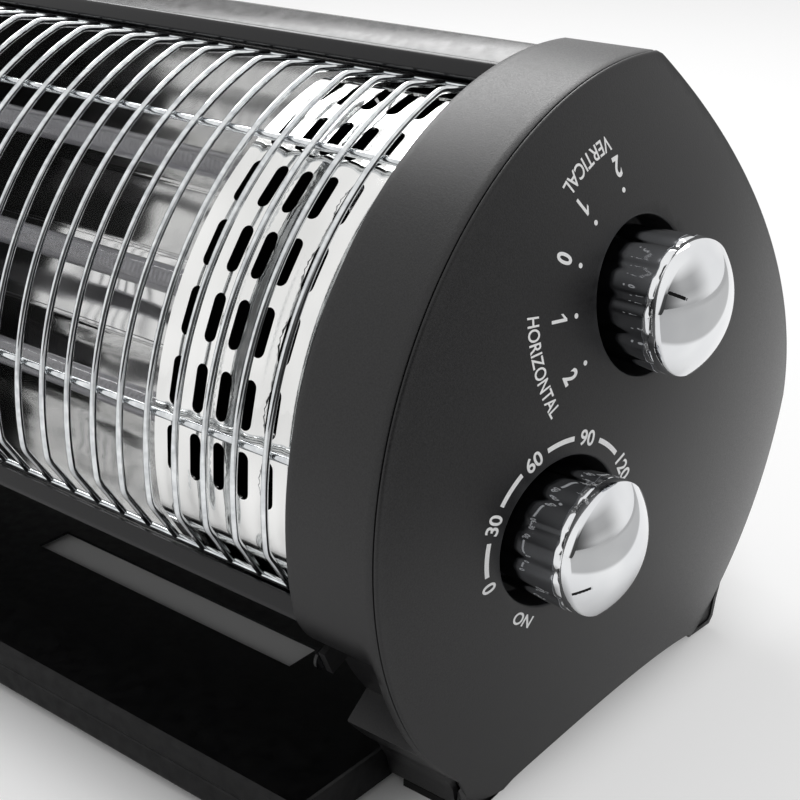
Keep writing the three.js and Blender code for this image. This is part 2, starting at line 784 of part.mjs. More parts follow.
const cheekBlock = ({ depth, y, z, width, height }) => block(cheekFaceX, cheekFaceX + depth,
  y - width / 2, y + width / 2, z - height / 2, z + height / 2);
add('tilt_switch', cheekBlock(tiltSwitch), blackPlastic, heater);
add('terminal_block', cheekBlock(terminalBlock), switchPlastic, farEnd);
add('thermal_cutout', rod(thermalCutout.radius, cheekFaceX, cheekFaceX + thermalCutout.depth,
  thermalCutout.y, thermalCutout.z, 16), brass, heater);

// Cord gland through the back of the far ring: flange outside, shank through the wall.
function cordGland() {
  const wall = bodyRadius + clearance;
  return atGland(turned([
    [0, wall - glandInside], [glandShankRadius, wall - glandInside], [glandShankRadius, wall],
    [glandRadius, wall + 2], [glandRadius, wall + 4],
    [glandShankRadius, wall + glandLength], [glandBoreRadius, wall + glandLength],
    [glandBoreRadius, wall + 6], [0, wall + 6],
  ], 0, 0, 16));
}
add('cord_gland', cordGland(), rubber, farEnd);

// Round headed screws on the lugs in the recesses of the bands
function flangeScrew() {
  return turned([
    [0, sheetEndX - screwHeadHeight], [screwHeadRadius * 0.6, sheetEndX - screwHeadHeight],
    [screwHeadRadius, sheetEndX - screwHeadSide], [screwHeadRadius, sheetEndX], [0, sheetEndX],
  ], screwPlace.x, screwPlace.y, 16);
}
add('control_flange_screw', flangeScrew(), blackSteel, heater);
add('far_flange_screw', flangeScrew(), blackSteel, farEnd);

export default part;
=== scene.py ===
import math

import bmesh
import bpy
import numpy as np
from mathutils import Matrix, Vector
from mathutils.geometry import delaunay_2d_cdt


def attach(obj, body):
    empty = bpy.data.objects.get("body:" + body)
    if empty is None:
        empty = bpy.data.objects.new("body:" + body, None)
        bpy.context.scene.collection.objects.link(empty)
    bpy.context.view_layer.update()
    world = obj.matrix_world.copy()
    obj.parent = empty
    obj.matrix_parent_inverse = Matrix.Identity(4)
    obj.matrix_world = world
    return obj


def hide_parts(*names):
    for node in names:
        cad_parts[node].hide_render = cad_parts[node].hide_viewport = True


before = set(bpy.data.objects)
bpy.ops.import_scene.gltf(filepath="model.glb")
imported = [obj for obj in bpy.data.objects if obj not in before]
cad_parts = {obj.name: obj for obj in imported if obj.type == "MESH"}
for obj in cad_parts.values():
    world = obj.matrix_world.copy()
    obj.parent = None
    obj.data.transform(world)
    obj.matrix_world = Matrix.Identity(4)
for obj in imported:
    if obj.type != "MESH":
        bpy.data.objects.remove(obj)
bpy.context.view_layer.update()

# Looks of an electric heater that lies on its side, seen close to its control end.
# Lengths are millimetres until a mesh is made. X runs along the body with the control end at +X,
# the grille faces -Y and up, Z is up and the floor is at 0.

MM = 0.001
BODY = "heater_body"


# ---- Bands of the end caps
# Each end of the body is a moulded ring of dark plastic with a fine satin grain: a band on two
# toes, flatter at the upper back, with a flange inside. Low at the front the band turns in over
# a recess, in which a lug of the flange takes a screw.

AXIS_HEIGHT = 106.4
BAND_RADIUS = 119.0
BAND_INNER_X = 266.0
BAND_OUTER_X = 297.5
BAND_WALL = 2.6
FLANGE_WALL = 2.4
FLANGE_REACH = 21.0
BACK_REACH = 87.0
BACK_RADIUS = 462.0
BACK_NORMAL = math.radians(36.7)
ARCH_CROWN = 86.0
ARCH_HALF_WIDTH = 50.0
SOLE_Z = 3.1 - AXIS_HEIGHT
RECESS_X = 289.7
RECESS_RADIUS = 107.4
RECESS_FROM = 198.4
RECESS_TO = 217.2
ROLL_FROM = 190.0
ROLL_DEPTH = 4.5
LUG_RADIUS = 4.8
LUG_ANGLE = math.radians(203.6)
LUG_DISTANCE = 113.5


def unit(angle):
    """Rows (cos, sin) of angles."""
    return np.column_stack([np.cos(angle), np.sin(angle)])


def band_edge(angle, inset=0.0):
    """Distance from the axis to the band: its circle, or the shallow arc of the upper back."""
    away = BACK_REACH - BACK_RADIUS
    along = away * np.cos(angle - BACK_NORMAL)
    arc = along + np.sqrt(along ** 2 - away ** 2 + (BACK_RADIUS - inset) ** 2)
    return np.minimum(BAND_RADIUS - inset, arc)


def cap_outline(inset=0.0):
    """Closed (y, z) outline from the rear toe over the top to the front toe and along the arch.

    The points stand closer together where the recess begins and ends."""
    angle = np.radians(np.unique(np.concatenate([
        np.linspace(-47, 227, 221), np.linspace(ROLL_FROM - 2, RECESS_FROM, 34),
        np.linspace(RECESS_FROM, RECESS_TO, 50), (RECESS_FROM + 0.05, RECESS_TO + 0.05)])))
    around = band_edge(angle, inset)[:, None] * unit(angle)
    y = np.linspace(-ARCH_HALF_WIDTH, ARCH_HALF_WIDTH, 33)
    arch = np.column_stack([y, -(ARCH_CROWN - inset + 0.0045 * y ** 2)])
    toe = np.array([(-76.5 + inset, -95.3), (-75 + inset, -101.8 + inset),
                    (-73.5 + inset, SOLE_Z + inset), (-58 - inset * 0.6, SOLE_Z + inset),
                    (-55 - inset * 0.6, -100.2 + inset)])
    return np.concatenate([around, toe, arch, toe[::-1] * (-1, 1)])


def hollow_outline(inset):
    """The inside of the cap at the same angles: the band's edge moved in, flat over the arch."""
    y, z = cap_outline().T
    angle = np.arctan2(z, y)
    flat = (ARCH_CROWN - inset) / np.maximum(-np.sin(angle), 0.01)
    reach = np.minimum(band_edge(angle % (2 * math.pi), inset), flat)
    return reach[:, None] * unit(angle)


def drawn_in(outline, limit):
    """The outline with no point further from the axis than a limit given for each point."""
    reach = np.hypot(*outline.T)
    return outline * np.minimum(limit / reach, 1)[:, None]


def band_limits():
    """Largest radius for each point: of the rolled edge, in the recess, at the lug, inside."""
    y, z = cap_outline().T
    angle = np.degrees(np.arctan2(z, y)) % 360
    share = np.clip((angle - ROLL_FROM) / (RECESS_FROM - ROLL_FROM), 0, 1)
    free = 4 * BAND_RADIUS
    roll = np.where((angle > ROLL_FROM) & (angle < RECESS_TO),
                    BAND_RADIUS - ROLL_DEPTH * share ** 2, free)
    sunk = (angle > RECESS_FROM + 0.02) & (angle < RECESS_TO + 0.02)
    recess = np.where(sunk, RECESS_RADIUS, roll)
    off = LUG_DISTANCE * np.sin(np.radians(angle) - LUG_ANGLE)
    along = LUG_DISTANCE * np.cos(np.radians(angle) - LUG_ANGLE)
    lug_reach = along + np.sqrt(np.maximum(LUG_RADIUS ** 2 - off ** 2, 0))
    lug = np.where((np.abs(off) < LUG_RADIUS) & (along > 0),
                   np.maximum(np.minimum(lug_reach, roll), recess), recess)
    wide = (angle > RECESS_FROM - 1.4) & (angle < RECESS_TO + 1.4)
    inner = np.where(wide, RECESS_RADIUS, roll) - BAND_WALL
    return roll, recess, lug, inner


def skin(rows, around=True, closed=False):
    """Quads between rows of points. Around joins each row's end to its start, and closed joins
    the last row to the first."""
    rows = np.asarray(rows, float)
    n, m = rows.shape[:2]
    row = np.arange(n if closed else n - 1)[:, None]
    column = np.arange(m if around else m - 1)[None]
    below, beside = (row + 1) % n, (column + 1) % m
    quads = np.stack([row * m + column, row * m + beside, below * m + beside,
                      below * m + column], axis=-1)
    return rows.reshape(-1, 3), [quads.reshape(-1, 4)]


def at_x(x, outline):
    """A (y, z) outline about the axis as (x, y, z) points over the floor."""
    return np.column_stack([np.full(len(outline), x), outline[:, 0], outline[:, 1] + AXIS_HEIGHT])


def cap_band():
    """Rows round the cap, carried over the front seam, the band, the flange and back inside."""
    roll, recess, lug, inner = band_limits()
    free = np.full(len(roll), 4 * BAND_RADIUS)
    part_roll = [np.minimum(free, BAND_RADIUS + (roll - BAND_RADIUS) * share)
                 for share in (0.0, 0.35, 0.8)]
    outside = [(BAND_OUTER_X, 0.5, free), (297.35, 0.15, free), (297.0, 0.0, free),
               (294.5, 0.0, part_roll[0]), (292.8, 0.0, part_roll[1]), (291.2, 0.0, part_roll[2]),
               (RECESS_X + 0.3, 0.0, roll), (RECESS_X, 0.0, recess), (280.0, 0.0, recess),
               (268.6, 0.0, recess), (268.4, 0.0, lug), (266.6, 0.0, lug), (266.15, 0.15, lug),
               (BAND_INNER_X, 0.6, lug)]
    rows = [at_x(x, drawn_in(cap_outline(inset), limit)) for x, inset, limit in outside]
    flange, hollow = hollow_outline(FLANGE_REACH), hollow_outline(BAND_WALL)
    inside = drawn_in(hollow, inner)
    flange_x, recess_x = BAND_INNER_X + FLANGE_WALL, RECESS_X + BAND_WALL
    rows += [at_x(x, outline) for x, outline in (
        (BAND_INNER_X, flange), (flange_x, flange), (flange_x, inside), (recess_x, inside),
        (recess_x + 0.1, hollow), (BAND_OUTER_X, hollow))]
    return skin(rows, closed=True)


def finish(name, colour, roughness, metallic=0.0, specular=0.5):
    """A new material with its shader's tree and its Principled shader."""
    material = bpy.data.materials.new(name)
    material.use_nodes = True
    surface = material.node_tree.nodes["Principled BSDF"]
    for socket, value in (("Base Color", (*colour, 1)), ("Roughness", roughness),
                          ("Metallic", metallic), ("Specular IOR Level", specular)):
        surface.inputs[socket].default_value = value
    return material, material.node_tree, surface


def added(tree, kind, **inputs):
    """A new shader node whose named inputs are set to values or linked to sockets."""
    node = tree.nodes.new("ShaderNode" + kind)
    for name, value in inputs.items():
        socket = node.inputs[name.replace("_", " ")]
        if isinstance(value, bpy.types.NodeSocket):
            tree.links.new(value, socket)
        else:
            socket.default_value = value
    return node


def grain(tree, per_metre, detail=2.0, stretch=(1, 1, 1)):
    """Noise over the piece's own coordinates, with so many features in a metre."""
    where = added(tree, "TexCoord").outputs["Object"]
    place = added(tree, "Mapping", Vector=where, Scale=stretch).outputs["Vector"]
    return added(tree, "TexNoise", Vector=place, Scale=per_metre, Detail=detail).outputs["Fac"]


def relief(tree, surface, height, strength, depth):
    """Bumps of a texture's value, at most a depth in millimetres."""
    bump = added(tree, "Bump", Strength=strength, Distance=depth * MM, Height=height)
    tree.links.new(bump.outputs["Normal"], surface.inputs["Normal"])


def roughened(tree, surface, value, low, high):
    """Roughness between low and high, driven by a texture's value."""
    node = added(tree, "MapRange", Value=value, From_Min=0.3, From_Max=0.7, To_Min=low,
                 To_Max=high)
    tree.links.new(node.outputs["Result"], surface.inputs["Roughness"])


def tinted(tree, surface, value, dark, light):
    """Colour between a dark tint and a light one, driven by a texture's value."""
    node = added(tree, "ValToRGB", Fac=value)
    for stop, position, colour in zip(node.color_ramp.elements, (0.3, 0.7), (dark, light)):
        stop.position = position
        stop.color = (*colour, 1)
    tree.links.new(node.outputs["Color"], surface.inputs["Base Color"])


def moulded(name, dark, light, roughness, per_metre, depth, specular=0.5):
    """Moulded plastic, rubber or clay: two tints in a fine grain that also roughens it."""
    material, tree, surface = finish(name, light, roughness, specular=specular)
    fine = grain(tree, per_metre, 3)
    tinted(tree, surface, fine, dark, light)
    roughened(tree, surface, fine, roughness - 0.06, roughness + 0.06)
    relief(tree, surface, fine, 0.5, depth)
    return material


def placed(name, data):
    """A new object in the scene."""
    thing = bpy.data.objects.new(name, data)
    bpy.context.scene.collection.objects.link(thing)
    return thing


def add_piece(name, shape, material, stands_for=(), body=BODY, crease=35, merge=0.0,
              front=None):
    """A mesh piece that rides on a body and stands for CAD nodes.

    Points closer than merge become one. Faces turn outwards, or towards front where the piece
    is an open print. Edges sharper than the crease angle and the rims of open skins stay sharp."""
    points, faces = shape
    mesh = bpy.data.meshes.new(name)
    mesh.from_pydata((points * MM).tolist(), [], [f for group in faces for f in group.tolist()])
    mesh.validate()
    work = bmesh.new()
    work.from_mesh(mesh)
    if merge:
        bmesh.ops.remove_doubles(work, verts=work.verts, dist=merge * MM)
        bmesh.ops.dissolve_degenerate(work, edges=work.edges, dist=merge * MM * 0.1)
    if front is None:
        bmesh.ops.recalc_face_normals(work, faces=work.faces)
    else:
        away = [f for f in work.faces if f.normal.dot(front) < 0]
        bmesh.ops.reverse_faces(work, faces=away)
    rims = [i for i, edge in enumerate(work.edges) if edge.is_boundary]
    work.to_mesh(mesh)
    work.free()
    mesh.shade_smooth()
    mesh.set_sharp_from_angle(angle=math.radians(crease))
    for rim in rims:
        mesh.edges[rim].use_edge_sharp = True
    mesh.materials.append(material)
    piece = placed(name, mesh)
    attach(piece, body)
    if stands_for:
        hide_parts(*stands_for)
    return piece


ENDS = {"control": 1, "far": -1}
charcoal = moulded("charcoal_plastic", (0.006, 0.006, 0.0065), (0.019, 0.0185, 0.0195), 0.4, 2000,
                   0.07, specular=0.4)
for end, sign in ENDS.items():
    points, faces = cap_band()
    add_piece(end + "_end_band", (points * (sign, 1, 1), faces), charcoal,
              [end + "_cap_ring"], crease=40)


# ---- Rubber toe feet
# Each of the four toes stands on a small block of black rubber, which is pressed in from below
# and keeps it three millimetres off the floor.

rubber = moulded("black_rubber", (0.006, 0.006, 0.006), (0.012, 0.012, 0.012), 0.8, 1800, 0.04,
                 specular=0.3)


def dress(material, *names):
    """Gives CAD nodes that stay in view their finish."""
    for name in names:
        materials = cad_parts[name].data.materials
        materials.clear()
        materials.append(material)


dress(rubber, "control_front_foot", "control_rear_foot", "far_front_foot", "far_rear_foot")


# ---- Control cover
# The front of the control end is a domed plastic lid with a rounded rim, snapped to the band
# with a fine gap, and with two round wells for the knobs.

AIM = math.radians(33)
COVER_X = 298.0
COVER_RIM = 0.9
COVER_WALL = 2.0
DOME_RADIUS = 345.0
DOME_APEX_X = COVER_X + 0.8 + DOME_RADIUS - math.sqrt(DOME_RADIUS ** 2 - BAND_RADIUS ** 2)
KNOB_FORWARD = 43.9
KNOB_SPREAD = {"selector": 36.0, "timer": -36.0}
WELL_RADIUS = 23.0
WELL_DEPTH = 14.0
WELL_LIP = 0.9
WELL_FLOOR_X = (DOME_APEX_X - DOME_RADIUS - WELL_DEPTH
                + math.sqrt(DOME_RADIUS ** 2 - KNOB_FORWARD ** 2 - KNOB_SPREAD["timer"] ** 2))
BUSH_HOLE = 4.5


def level(u, v):
    """Aimed (u, v), to the back of the grille and up along it, as (y, z) about the axis:
    y = u cos a + v sin a, z = v cos a - u sin a."""
    return u * math.cos(AIM) + v * math.sin(AIM), v * math.cos(AIM) - u * math.sin(AIM)


def dome_x(y, z):
    """X of the domed front over (y, z): a sphere about a point on the body's axis."""
    return DOME_APEX_X - DOME_RADIUS + np.sqrt(DOME_RADIUS ** 2 - y ** 2 - z ** 2)


def circle(radius, sides, place=(0, 0)):
    return radius * unit(np.arange(sides) * 2 * math.pi / sides) + place


def rectangle(low, high):
    """The four corners between two opposite ones."""
    return np.array([low, (high[0], low[1]), high, (low[0], high[1])], float)


def lies_inside(points, outline):
    """Which (a, b) points lie inside a closed outline, by counting the edges they pass under."""
    a, b = points[:, :1], points[:, 1:]
    p, q = outline, np.roll(outline, -1, axis=0)
    crosses = (p[:, 1] > b) != (q[:, 1] > b)
    run = np.where(q[:, 1] == p[:, 1], 1, q[:, 1] - p[:, 1])
    at = p[:, 0] + (b - p[:, 1]) * (q[:, 0] - p[:, 0]) / run
    return (crosses & (a < at)).sum(axis=1) % 2 == 1


def filled(outline, holes, spacing):
    """Triangles over the flat area inside an outline and outside its holes, with points every
    spacing inside it in staggered rows, so that the area can be bent."""
    loops = [np.asarray(loop, float) for loop in [outline, *holes]]
    points = np.concatenate(loops)
    edges = []
    for loop in loops:
        i = np.arange(len(loop)) + len(edges)
        edges += np.column_stack([i, np.roll(i, -1)]).tolist()
    low, high = loops[0].min(axis=0), loops[0].max(axis=0)
    grid = np.stack(np.meshgrid(np.arange(low[0], high[0], spacing),
                                np.arange(low[1], high[1], spacing * 0.87)), axis=-1)
    grid[1::2, :, 0] += spacing / 2
    grid = grid.reshape(-1, 2)

    def in_area(places):
        return sum(lies_inside(places, loop).astype(int) for loop in loops) == 1

    grid = grid[in_area(grid)]
    pieces = np.array_split(grid, max(1, len(grid) * len(points) // 4_000_000))
    near = np.concatenate([
        np.sqrt(((part[:, None] - points[None]) ** 2).sum(axis=2)).min(axis=1)
        for part in pieces])
    points = np.concatenate([points, grid[near > spacing * 0.45]])
    result = delaunay_2d_cdt([Vector(p) for p in points], edges, [], 0, 1e-7)
    flat = np.array([tuple(p) for p in result[0]])
    triangles = np.array(result[2])
    return flat, triangles[in_area(flat[triangles].mean(axis=1))]


def joined(shapes):
    """Several shapes as one."""
    starts = np.cumsum([0] + [len(points) for points, _ in shapes])
    return (np.concatenate([points for points, _ in shapes]),
            [group + start for (_, faces), start in zip(shapes, starts) for group in faces])


def rounded_edge(size, steps, outline):
    """Rows over a quarter round at the dome's edge, from outline(size) out to outline(0)."""
    front = dome_x(*outline(size).T)
    return [at_x(front - size * (1 - math.cos(turn)), outline(size * (1 - math.sin(turn))))
            for turn in np.linspace(0, math.pi / 2, steps)]


def control_lid():
    """Dome x(y, z), a quarter round along its rim, and for each well a quarter round lip, a
    wall and a floor with a hole for the spindle's bush."""
    places = [level(-KNOB_FORWARD, spread) for spread in KNOB_SPREAD.values()]
    lips = [circle(WELL_RADIUS + WELL_LIP, 96, place) for place in places]
    flat, triangles = filled(cap_outline(COVER_RIM), lips, 3.0)
    shapes = [(at_x(dome_x(*flat.T), flat), [triangles]),
              skin(rounded_edge(COVER_RIM, 5, cap_outline) + [at_x(COVER_X, cap_outline())])]
    for place in places:
        rows = rounded_edge(WELL_LIP, 6, lambda out: circle(WELL_RADIUS + out, 96, place))
        rows += [at_x(WELL_FLOOR_X + rise, circle(radius, 96, place)) for radius, rise in (
            (WELL_RADIUS, 1.2), (WELL_RADIUS - 0.4, 0.3), (WELL_RADIUS - 1.2, 0), (BUSH_HOLE, 0))]
        shapes.append(skin(rows))
    return joined(shapes)


def walled(piece, thickness, offset=-1):
    """Gives a skin its wall: inwards for offset -1, to both sides for 0, outwards for 1."""
    wall = piece.modifiers.new("wall", "SOLIDIFY")
    wall.thickness = thickness * MM
    wall.offset = offset
    wall.use_even_offset = False
    return piece


cover = add_piece("domed_control_cover", control_lid(), charcoal,
                  ["control_cover"], merge=0.02, crease=50)
walled(cover, COVER_WALL)


# ---- Base cover
# The far end has a flat plastic cover in place of the dome, with a rounded edge. The heater
# stands on it when it is used upright, and a plunger comes through its hole.

BASE_X = 321.0
BASE_EDGE = 2.0
BASE_WALL = 2.4
PLUNGER_PLACE = (0, -40)
PLUNGER_HOLE = 4.4


def base_lid():
    """A side wall, a quarter round along the edge and the flat outer face with its hole."""
    flat, triangles = filled(cap_outline(BASE_EDGE), [circle(PLUNGER_HOLE, 32, PLUNGER_PLACE)], 12)
    rows = [at_x(COVER_X, cap_outline()), at_x(COVER_X + 0.3, cap_outline())]
    rows += [at_x(BASE_X - BASE_EDGE * (1 - math.sin(turn)),
                  cap_outline(BASE_EDGE * (1 - math.cos(turn))))
             for turn in np.linspace(0, math.pi / 2, 6)]
    return joined([skin(rows), (at_x(BASE_X, flat), [triangles])])


points, faces = base_lid()
base = add_piece("flat_base_cover", (points * (-1, 1, 1), faces), charcoal,
                 ["base_cover"], merge=0.02, crease=50)
walled(base, BASE_WALL)
dress(rubber, "base_foot_rear_upper", "base_foot_front_upper", "base_foot_front_lower",
      "base_foot_rear_lower")


# ---- Rear shell and base tray
# Folded sheet steel in black enamel, glossy on the shell, which closes the back of the body, and
# dull on the tray under it, which has a beaded front lip and two long air slots.

SHEET_END_X = 265.7
SHELL_INSET = 3.4
SHELL_THICKNESS = 1.0
TRAY_THICKNESS = 1.2
TRAY_FRONT_Y = -122.0
TRAY_REAR_Y = 48.0
TRAY_Z = 2.6 - AXIS_HEIGHT
TRAY_BEND = 2.0
TRAY_END_HEIGHT = 12.0
TRAY_SLOT_X = 128.0
TRAY_SLOT = (141.0, 15.0, -42.4)
LEG_END = (-74.12, 78.3)
RAIL_NOSE = 4.5
RAIL_DEPTH = 17.0
RAIL_HEIGHT = 6.6
RAIL_TOP_V = LEG_END[1] + 1.6


def eased(corners, reach, steps=5):
    """A bent line whose inner corners become quadratic curves that start a reach away."""
    corners = np.asarray(corners, float)
    before, corner, after = corners[:-2], corners[1:-1], corners[2:]
    into, out = (side * np.minimum(reach / np.linalg.norm(side, axis=1, keepdims=True), 0.5)
                 for side in (before - corner, after - corner))
    t = np.linspace(0, 1, steps)[None, :, None]
    curves = corner[:, None] + (1 - t) ** 2 * into[:, None] + t ** 2 * out[:, None]
    return np.concatenate([corners[:1], curves.reshape(-1, 2), corners[-1:]])


def folded(line, thickness):
    """The closed outline of a sheet of even thickness whose middle follows a line."""
    tangent = np.gradient(line, axis=0)
    tangent /= np.linalg.norm(tangent, axis=1, keepdims=True)
    normal = np.column_stack([-tangent[:, 1], tangent[:, 0]])
    return np.concatenate([line - normal * thickness / 2, (line + normal * thickness / 2)[::-1]])


def lengthwise(outline, stations):
    """A sheet's closed outline about the axis carried along X through stations, its two ends
    closed by strips between its faces."""
    shape, faces = skin([at_x(x, outline) for x in stations])
    n = len(outline)
    i = np.arange(n // 2 - 1)
    strip = np.column_stack([i, i + 1, n - 2 - i, n - 1 - i])
    return shape, faces + [strip, strip + len(shape) - n]


def back_sheet():
    """From the top rail round the back at an even distance inside the bands, under the
    reflector with two eased folds, and up to the bottom rail."""
    back = LEG_END[0] - RAIL_NOSE + RAIL_DEPTH + 0.3
    top = level(back - 6, RAIL_TOP_V + RAIL_HEIGHT + 0.3 + SHELL_THICKNESS / 2)
    bottom = level(back + SHELL_THICKNESS / 2, -RAIL_TOP_V - RAIL_HEIGHT / 2)
    angle = np.radians(np.linspace(88, -38, 120))
    around = band_edge(angle, SHELL_INSET)[:, None] * unit(angle)
    under = -ARCH_CROWN + SHELL_INSET + BAND_WALL
    tail = eased([around[-1], (70, under), (-12, under), (-60, -62), bottom], 7, 7)
    line = np.concatenate([[top], around, tail[1:]])
    return lengthwise(folded(line, SHELL_THICKNESS), np.linspace(-SHEET_END_X, SHEET_END_X, 8))


def tray_sheet():
    """Flat floor with two slots, a front lip with a bead along it, a rear edge turned up and
    two low end walls."""
    length, width, middle_y = TRAY_SLOT
    corners = rectangle((-length / 2, -width / 2), (length / 2, width / 2))
    slots = [corners + (x, middle_y) for x in (-TRAY_SLOT_X, TRAY_SLOT_X)]
    end = SHEET_END_X
    bend_y = TRAY_FRONT_Y + TRAY_BEND
    flat, triangles = filled(rectangle((-end, bend_y), (end, TRAY_REAR_Y)), slots, 30)
    floor = np.column_stack([flat, np.full(len(flat), TRAY_Z + AXIS_HEIGHT)])
    turn = np.linspace(0, math.pi / 2, 6)
    bend = (bend_y, TRAY_Z + TRAY_BEND) - TRAY_BEND * unit(turn)[:, ::-1]
    rise = np.array([8.5, 9.0, 9.8, 10.3, 16.2, 16.9, 17.3])
    push = np.array([0.0, 0.3, 0.3, 0.0, 0.0, 0.5, 1.2])
    lip = np.concatenate([bend, np.column_stack([TRAY_FRONT_Y + push, TRAY_Z + rise])])
    rear = np.array([(TRAY_REAR_Y, TRAY_Z), (TRAY_REAR_Y + 2, TRAY_Z + 1.5),
                     (TRAY_REAR_Y + 4, TRAY_Z + 6)])
    shapes = [(floor, [triangles])]
    for line in (lip, rear):
        shapes.append(skin([at_x(x, line) for x in (-end, end)], around=False))
    wall = rectangle((bend_y, TRAY_Z), (TRAY_REAR_Y, TRAY_Z + TRAY_END_HEIGHT))
    for x in (-end + TRAY_THICKNESS / 2, end - TRAY_THICKNESS / 2):
        shapes.append((at_x(x, wall), [np.array([[0, 1, 2, 3]])]))
    return joined(shapes)


def smooth_coat(name, colour, roughness, ripple, specular=0.5):
    """Gloss paint or plastic with the faint waves of its flow."""
    material, tree, surface = finish(name, colour, roughness, specular=specular)
    slow = grain(tree, 220)
    roughened(tree, surface, slow, roughness * 0.8, roughness * 1.3)
    relief(tree, surface, slow, 0.25, ripple)
    return material


enamel = smooth_coat("black_enamel", (0.0045, 0.0045, 0.0055), 0.2, 0.05, specular=0.35)
add_piece("rear_sheet", back_sheet(), enamel, ["rear_shell"], crease=50)
dull_enamel = smooth_coat("dull_enamel", (0.004, 0.004, 0.0045), 0.45, 0.05, specular=0.22)
tray = add_piece("floor_tray", tray_sheet(), dull_enamel, ["base_tray"],
                 crease=25, merge=0.01)
walled(tray, TRAY_THICKNESS, offset=0)


# ---- Rails of the grille
# Two black enamelled strips, folded with a round nose, along the lower and upper edge of the
# grille. The guard's legs end on them.

def aimed(points):
    """Rows (x, u, v) of the aimed frame as rows (x, y, z) over the floor."""
    points = np.asarray(points, float)
    y, z = level(points[:, 1], points[:, 2])
    return np.column_stack([points[:, 0], y, z + AXIS_HEIGHT])


def bar(rows):
    """A skin along closed rows of points, with a flat end at both sides."""
    points, faces = skin(rows)
    end = np.arange(np.shape(rows)[1])
    return points, faces + [np.array([end, end + len(points) - len(end)])]


def rail(side):
    """A rounded rectangle carried along X, with flat ends."""
    front = LEG_END[0] - RAIL_NOSE
    low, high = RAIL_TOP_V, RAIL_TOP_V + RAIL_HEIGHT
    corners = [(front + RAIL_DEPTH, low), (front + RAIL_DEPTH, high), (front, high), (front, low)]
    loop = np.concatenate([
        eased([corners[i - 1], corners[i], corners[(i + 1) % 4]], radius, 6)[1:-1]
        for i, radius in enumerate((0.7, 0.7, 2.6, 0.7))]) * (1, side)
    points, faces = bar([np.column_stack([np.full(len(loop), x), loop])
                         for x in np.linspace(-SHEET_END_X, SHEET_END_X, 12)])
    return aimed(points), faces


for name, side in (("bottom_rail", -1), ("top_rail", 1)):
    add_piece("folded_" + name, rail(side), enamel, [name])


# ---- Reflector
# A long trough of thin bright aluminium, folded along five lines, that throws the heat forward.
# Its mirror finish shows the slight waves of the sheet.

REFLECTOR_END_X = 204.6
REFLECTOR_THICKNESS = 0.8
REFLECTOR_BENDS = [(LEG_END[0] + 7.5, LEG_END[1] + 0.9), (-22, 63.5), (22, 48), (44, 20)]


def trough():
    """The folded section carried along X, pushed along u by small waves of x, u and v that
    fade out at both ends."""
    corners = [(u, -v) for u, v in REFLECTOR_BENDS] + REFLECTOR_BENDS[::-1]
    line = eased(corners, 2.2, 6)
    step = np.linalg.norm(np.diff(line, axis=0), axis=1)
    along = np.concatenate([[0], np.cumsum(step)])
    kept = np.unique(np.concatenate([along, np.arange(0, along[-1], 5)]))
    line = np.column_stack([np.interp(kept, along, column) for column in line.T])
    stations = np.linspace(-REFLECTOR_END_X, REFLECTOR_END_X, 90)
    points, faces = lengthwise(folded(line, REFLECTOR_THICKNESS), stations)
    x, u, v = points.T - np.array([[0], [0], [AXIS_HEIGHT]])
    wave = 0.22 * np.sin(x / 23 + v / 17) * np.sin(v / 13 + 1.7) + 0.12 * np.sin(x / 9.1 + u / 7)
    wave *= np.clip((REFLECTOR_END_X - np.abs(x)) / 15, 0, 1)
    return aimed(np.column_stack([x, u - wave, v])), faces


def drawn_metal(name, dark, light, roughness, per_metre, depth, stretch=(1, 1, 1)):
    """Metal with rolled or drawn streaks in its colour, gloss and surface."""
    material, tree, surface = finish(name, light, roughness, metallic=1.0)
    streaks = grain(tree, per_metre, stretch=stretch)
    tinted(tree, surface, streaks, dark, light)
    roughened(tree, surface, streaks, roughness * 0.6, roughness * 1.5)
    relief(tree, surface, streaks, 0.4, depth)
    return material


bright_sheet = drawn_metal("bright_aluminium", (0.7, 0.7, 0.7), (0.88, 0.88, 0.87), 0.07, 30, 0.9,
                           (0.35, 1, 1))
add_piece("mirror_trough", trough(), bright_sheet, ["reflector"])


# ---- Steel cheeks and end walls
# A black sheet inside each end cap carries the tubes. Under each shield a thinner one closes the
# trough round the tubes. Their black is real enamel that also serves as painted shade, so that it
# is dark behind the shield's slots.

# On the cheeks and end walls the black is partly painted shade: it darkens the space behind the
# shield's slots.
dress(dull_enamel, "control_cheek", "far_cheek", "control_end_wall", "far_end_wall")


# ---- Heating tubes
# Three tubes of slightly cloudy quartz glass, each with a coil of resistance wire inside and a
# cream ceramic holder at both ends, run in front of the reflector.

TUBE_U = -49.0
TUBE_V = {"lower": -43.5, "middle": 0.0, "upper": 43.5}
TUBE_RADIUS = 5.0
TUBE_BORE = 4.0
TUBE_HALF_LENGTH = 256.0
COIL_HALF_LENGTH = 244.0
COIL_RADIUS = 3.0
COIL_PITCH = 2.3
HOLDER_PROFILE = [(5.3, 242.4), (7.4, 242.4), (8.1, 243.1), (8.1, 249), (8.5, 249.6),
                  (8.5, 267.6), (7.7, 268.4), (0, 268.4), (0, 256.3), (5.3, 256.3)]


def turned(profile, sides=40):
    """A closed profile of (radius, x) points turned about a line along X."""
    return skin([np.column_stack([np.full(sides, x), circle(radius, sides)])
                 for radius, x in profile], closed=True)


def winding():
    """A square wire along a helix: turn by turn the wire goes on by one pitch."""
    steps = int(2 * COIL_HALF_LENGTH / COIL_PITCH * 10)
    along = np.linspace(-COIL_HALF_LENGTH, COIL_HALF_LENGTH, steps)
    out = np.column_stack([np.zeros(steps), unit(along / COIL_PITCH * 2 * math.pi)])
    centre = COIL_RADIUS * out + np.column_stack([along, np.zeros((steps, 2))])
    corners = [(0.3, 0.3), (0.3, -0.3), (-0.3, -0.3), (-0.3, 0.3)]
    return bar(np.stack([centre + out * a + (b, 0, 0) for a, b in corners], axis=1))


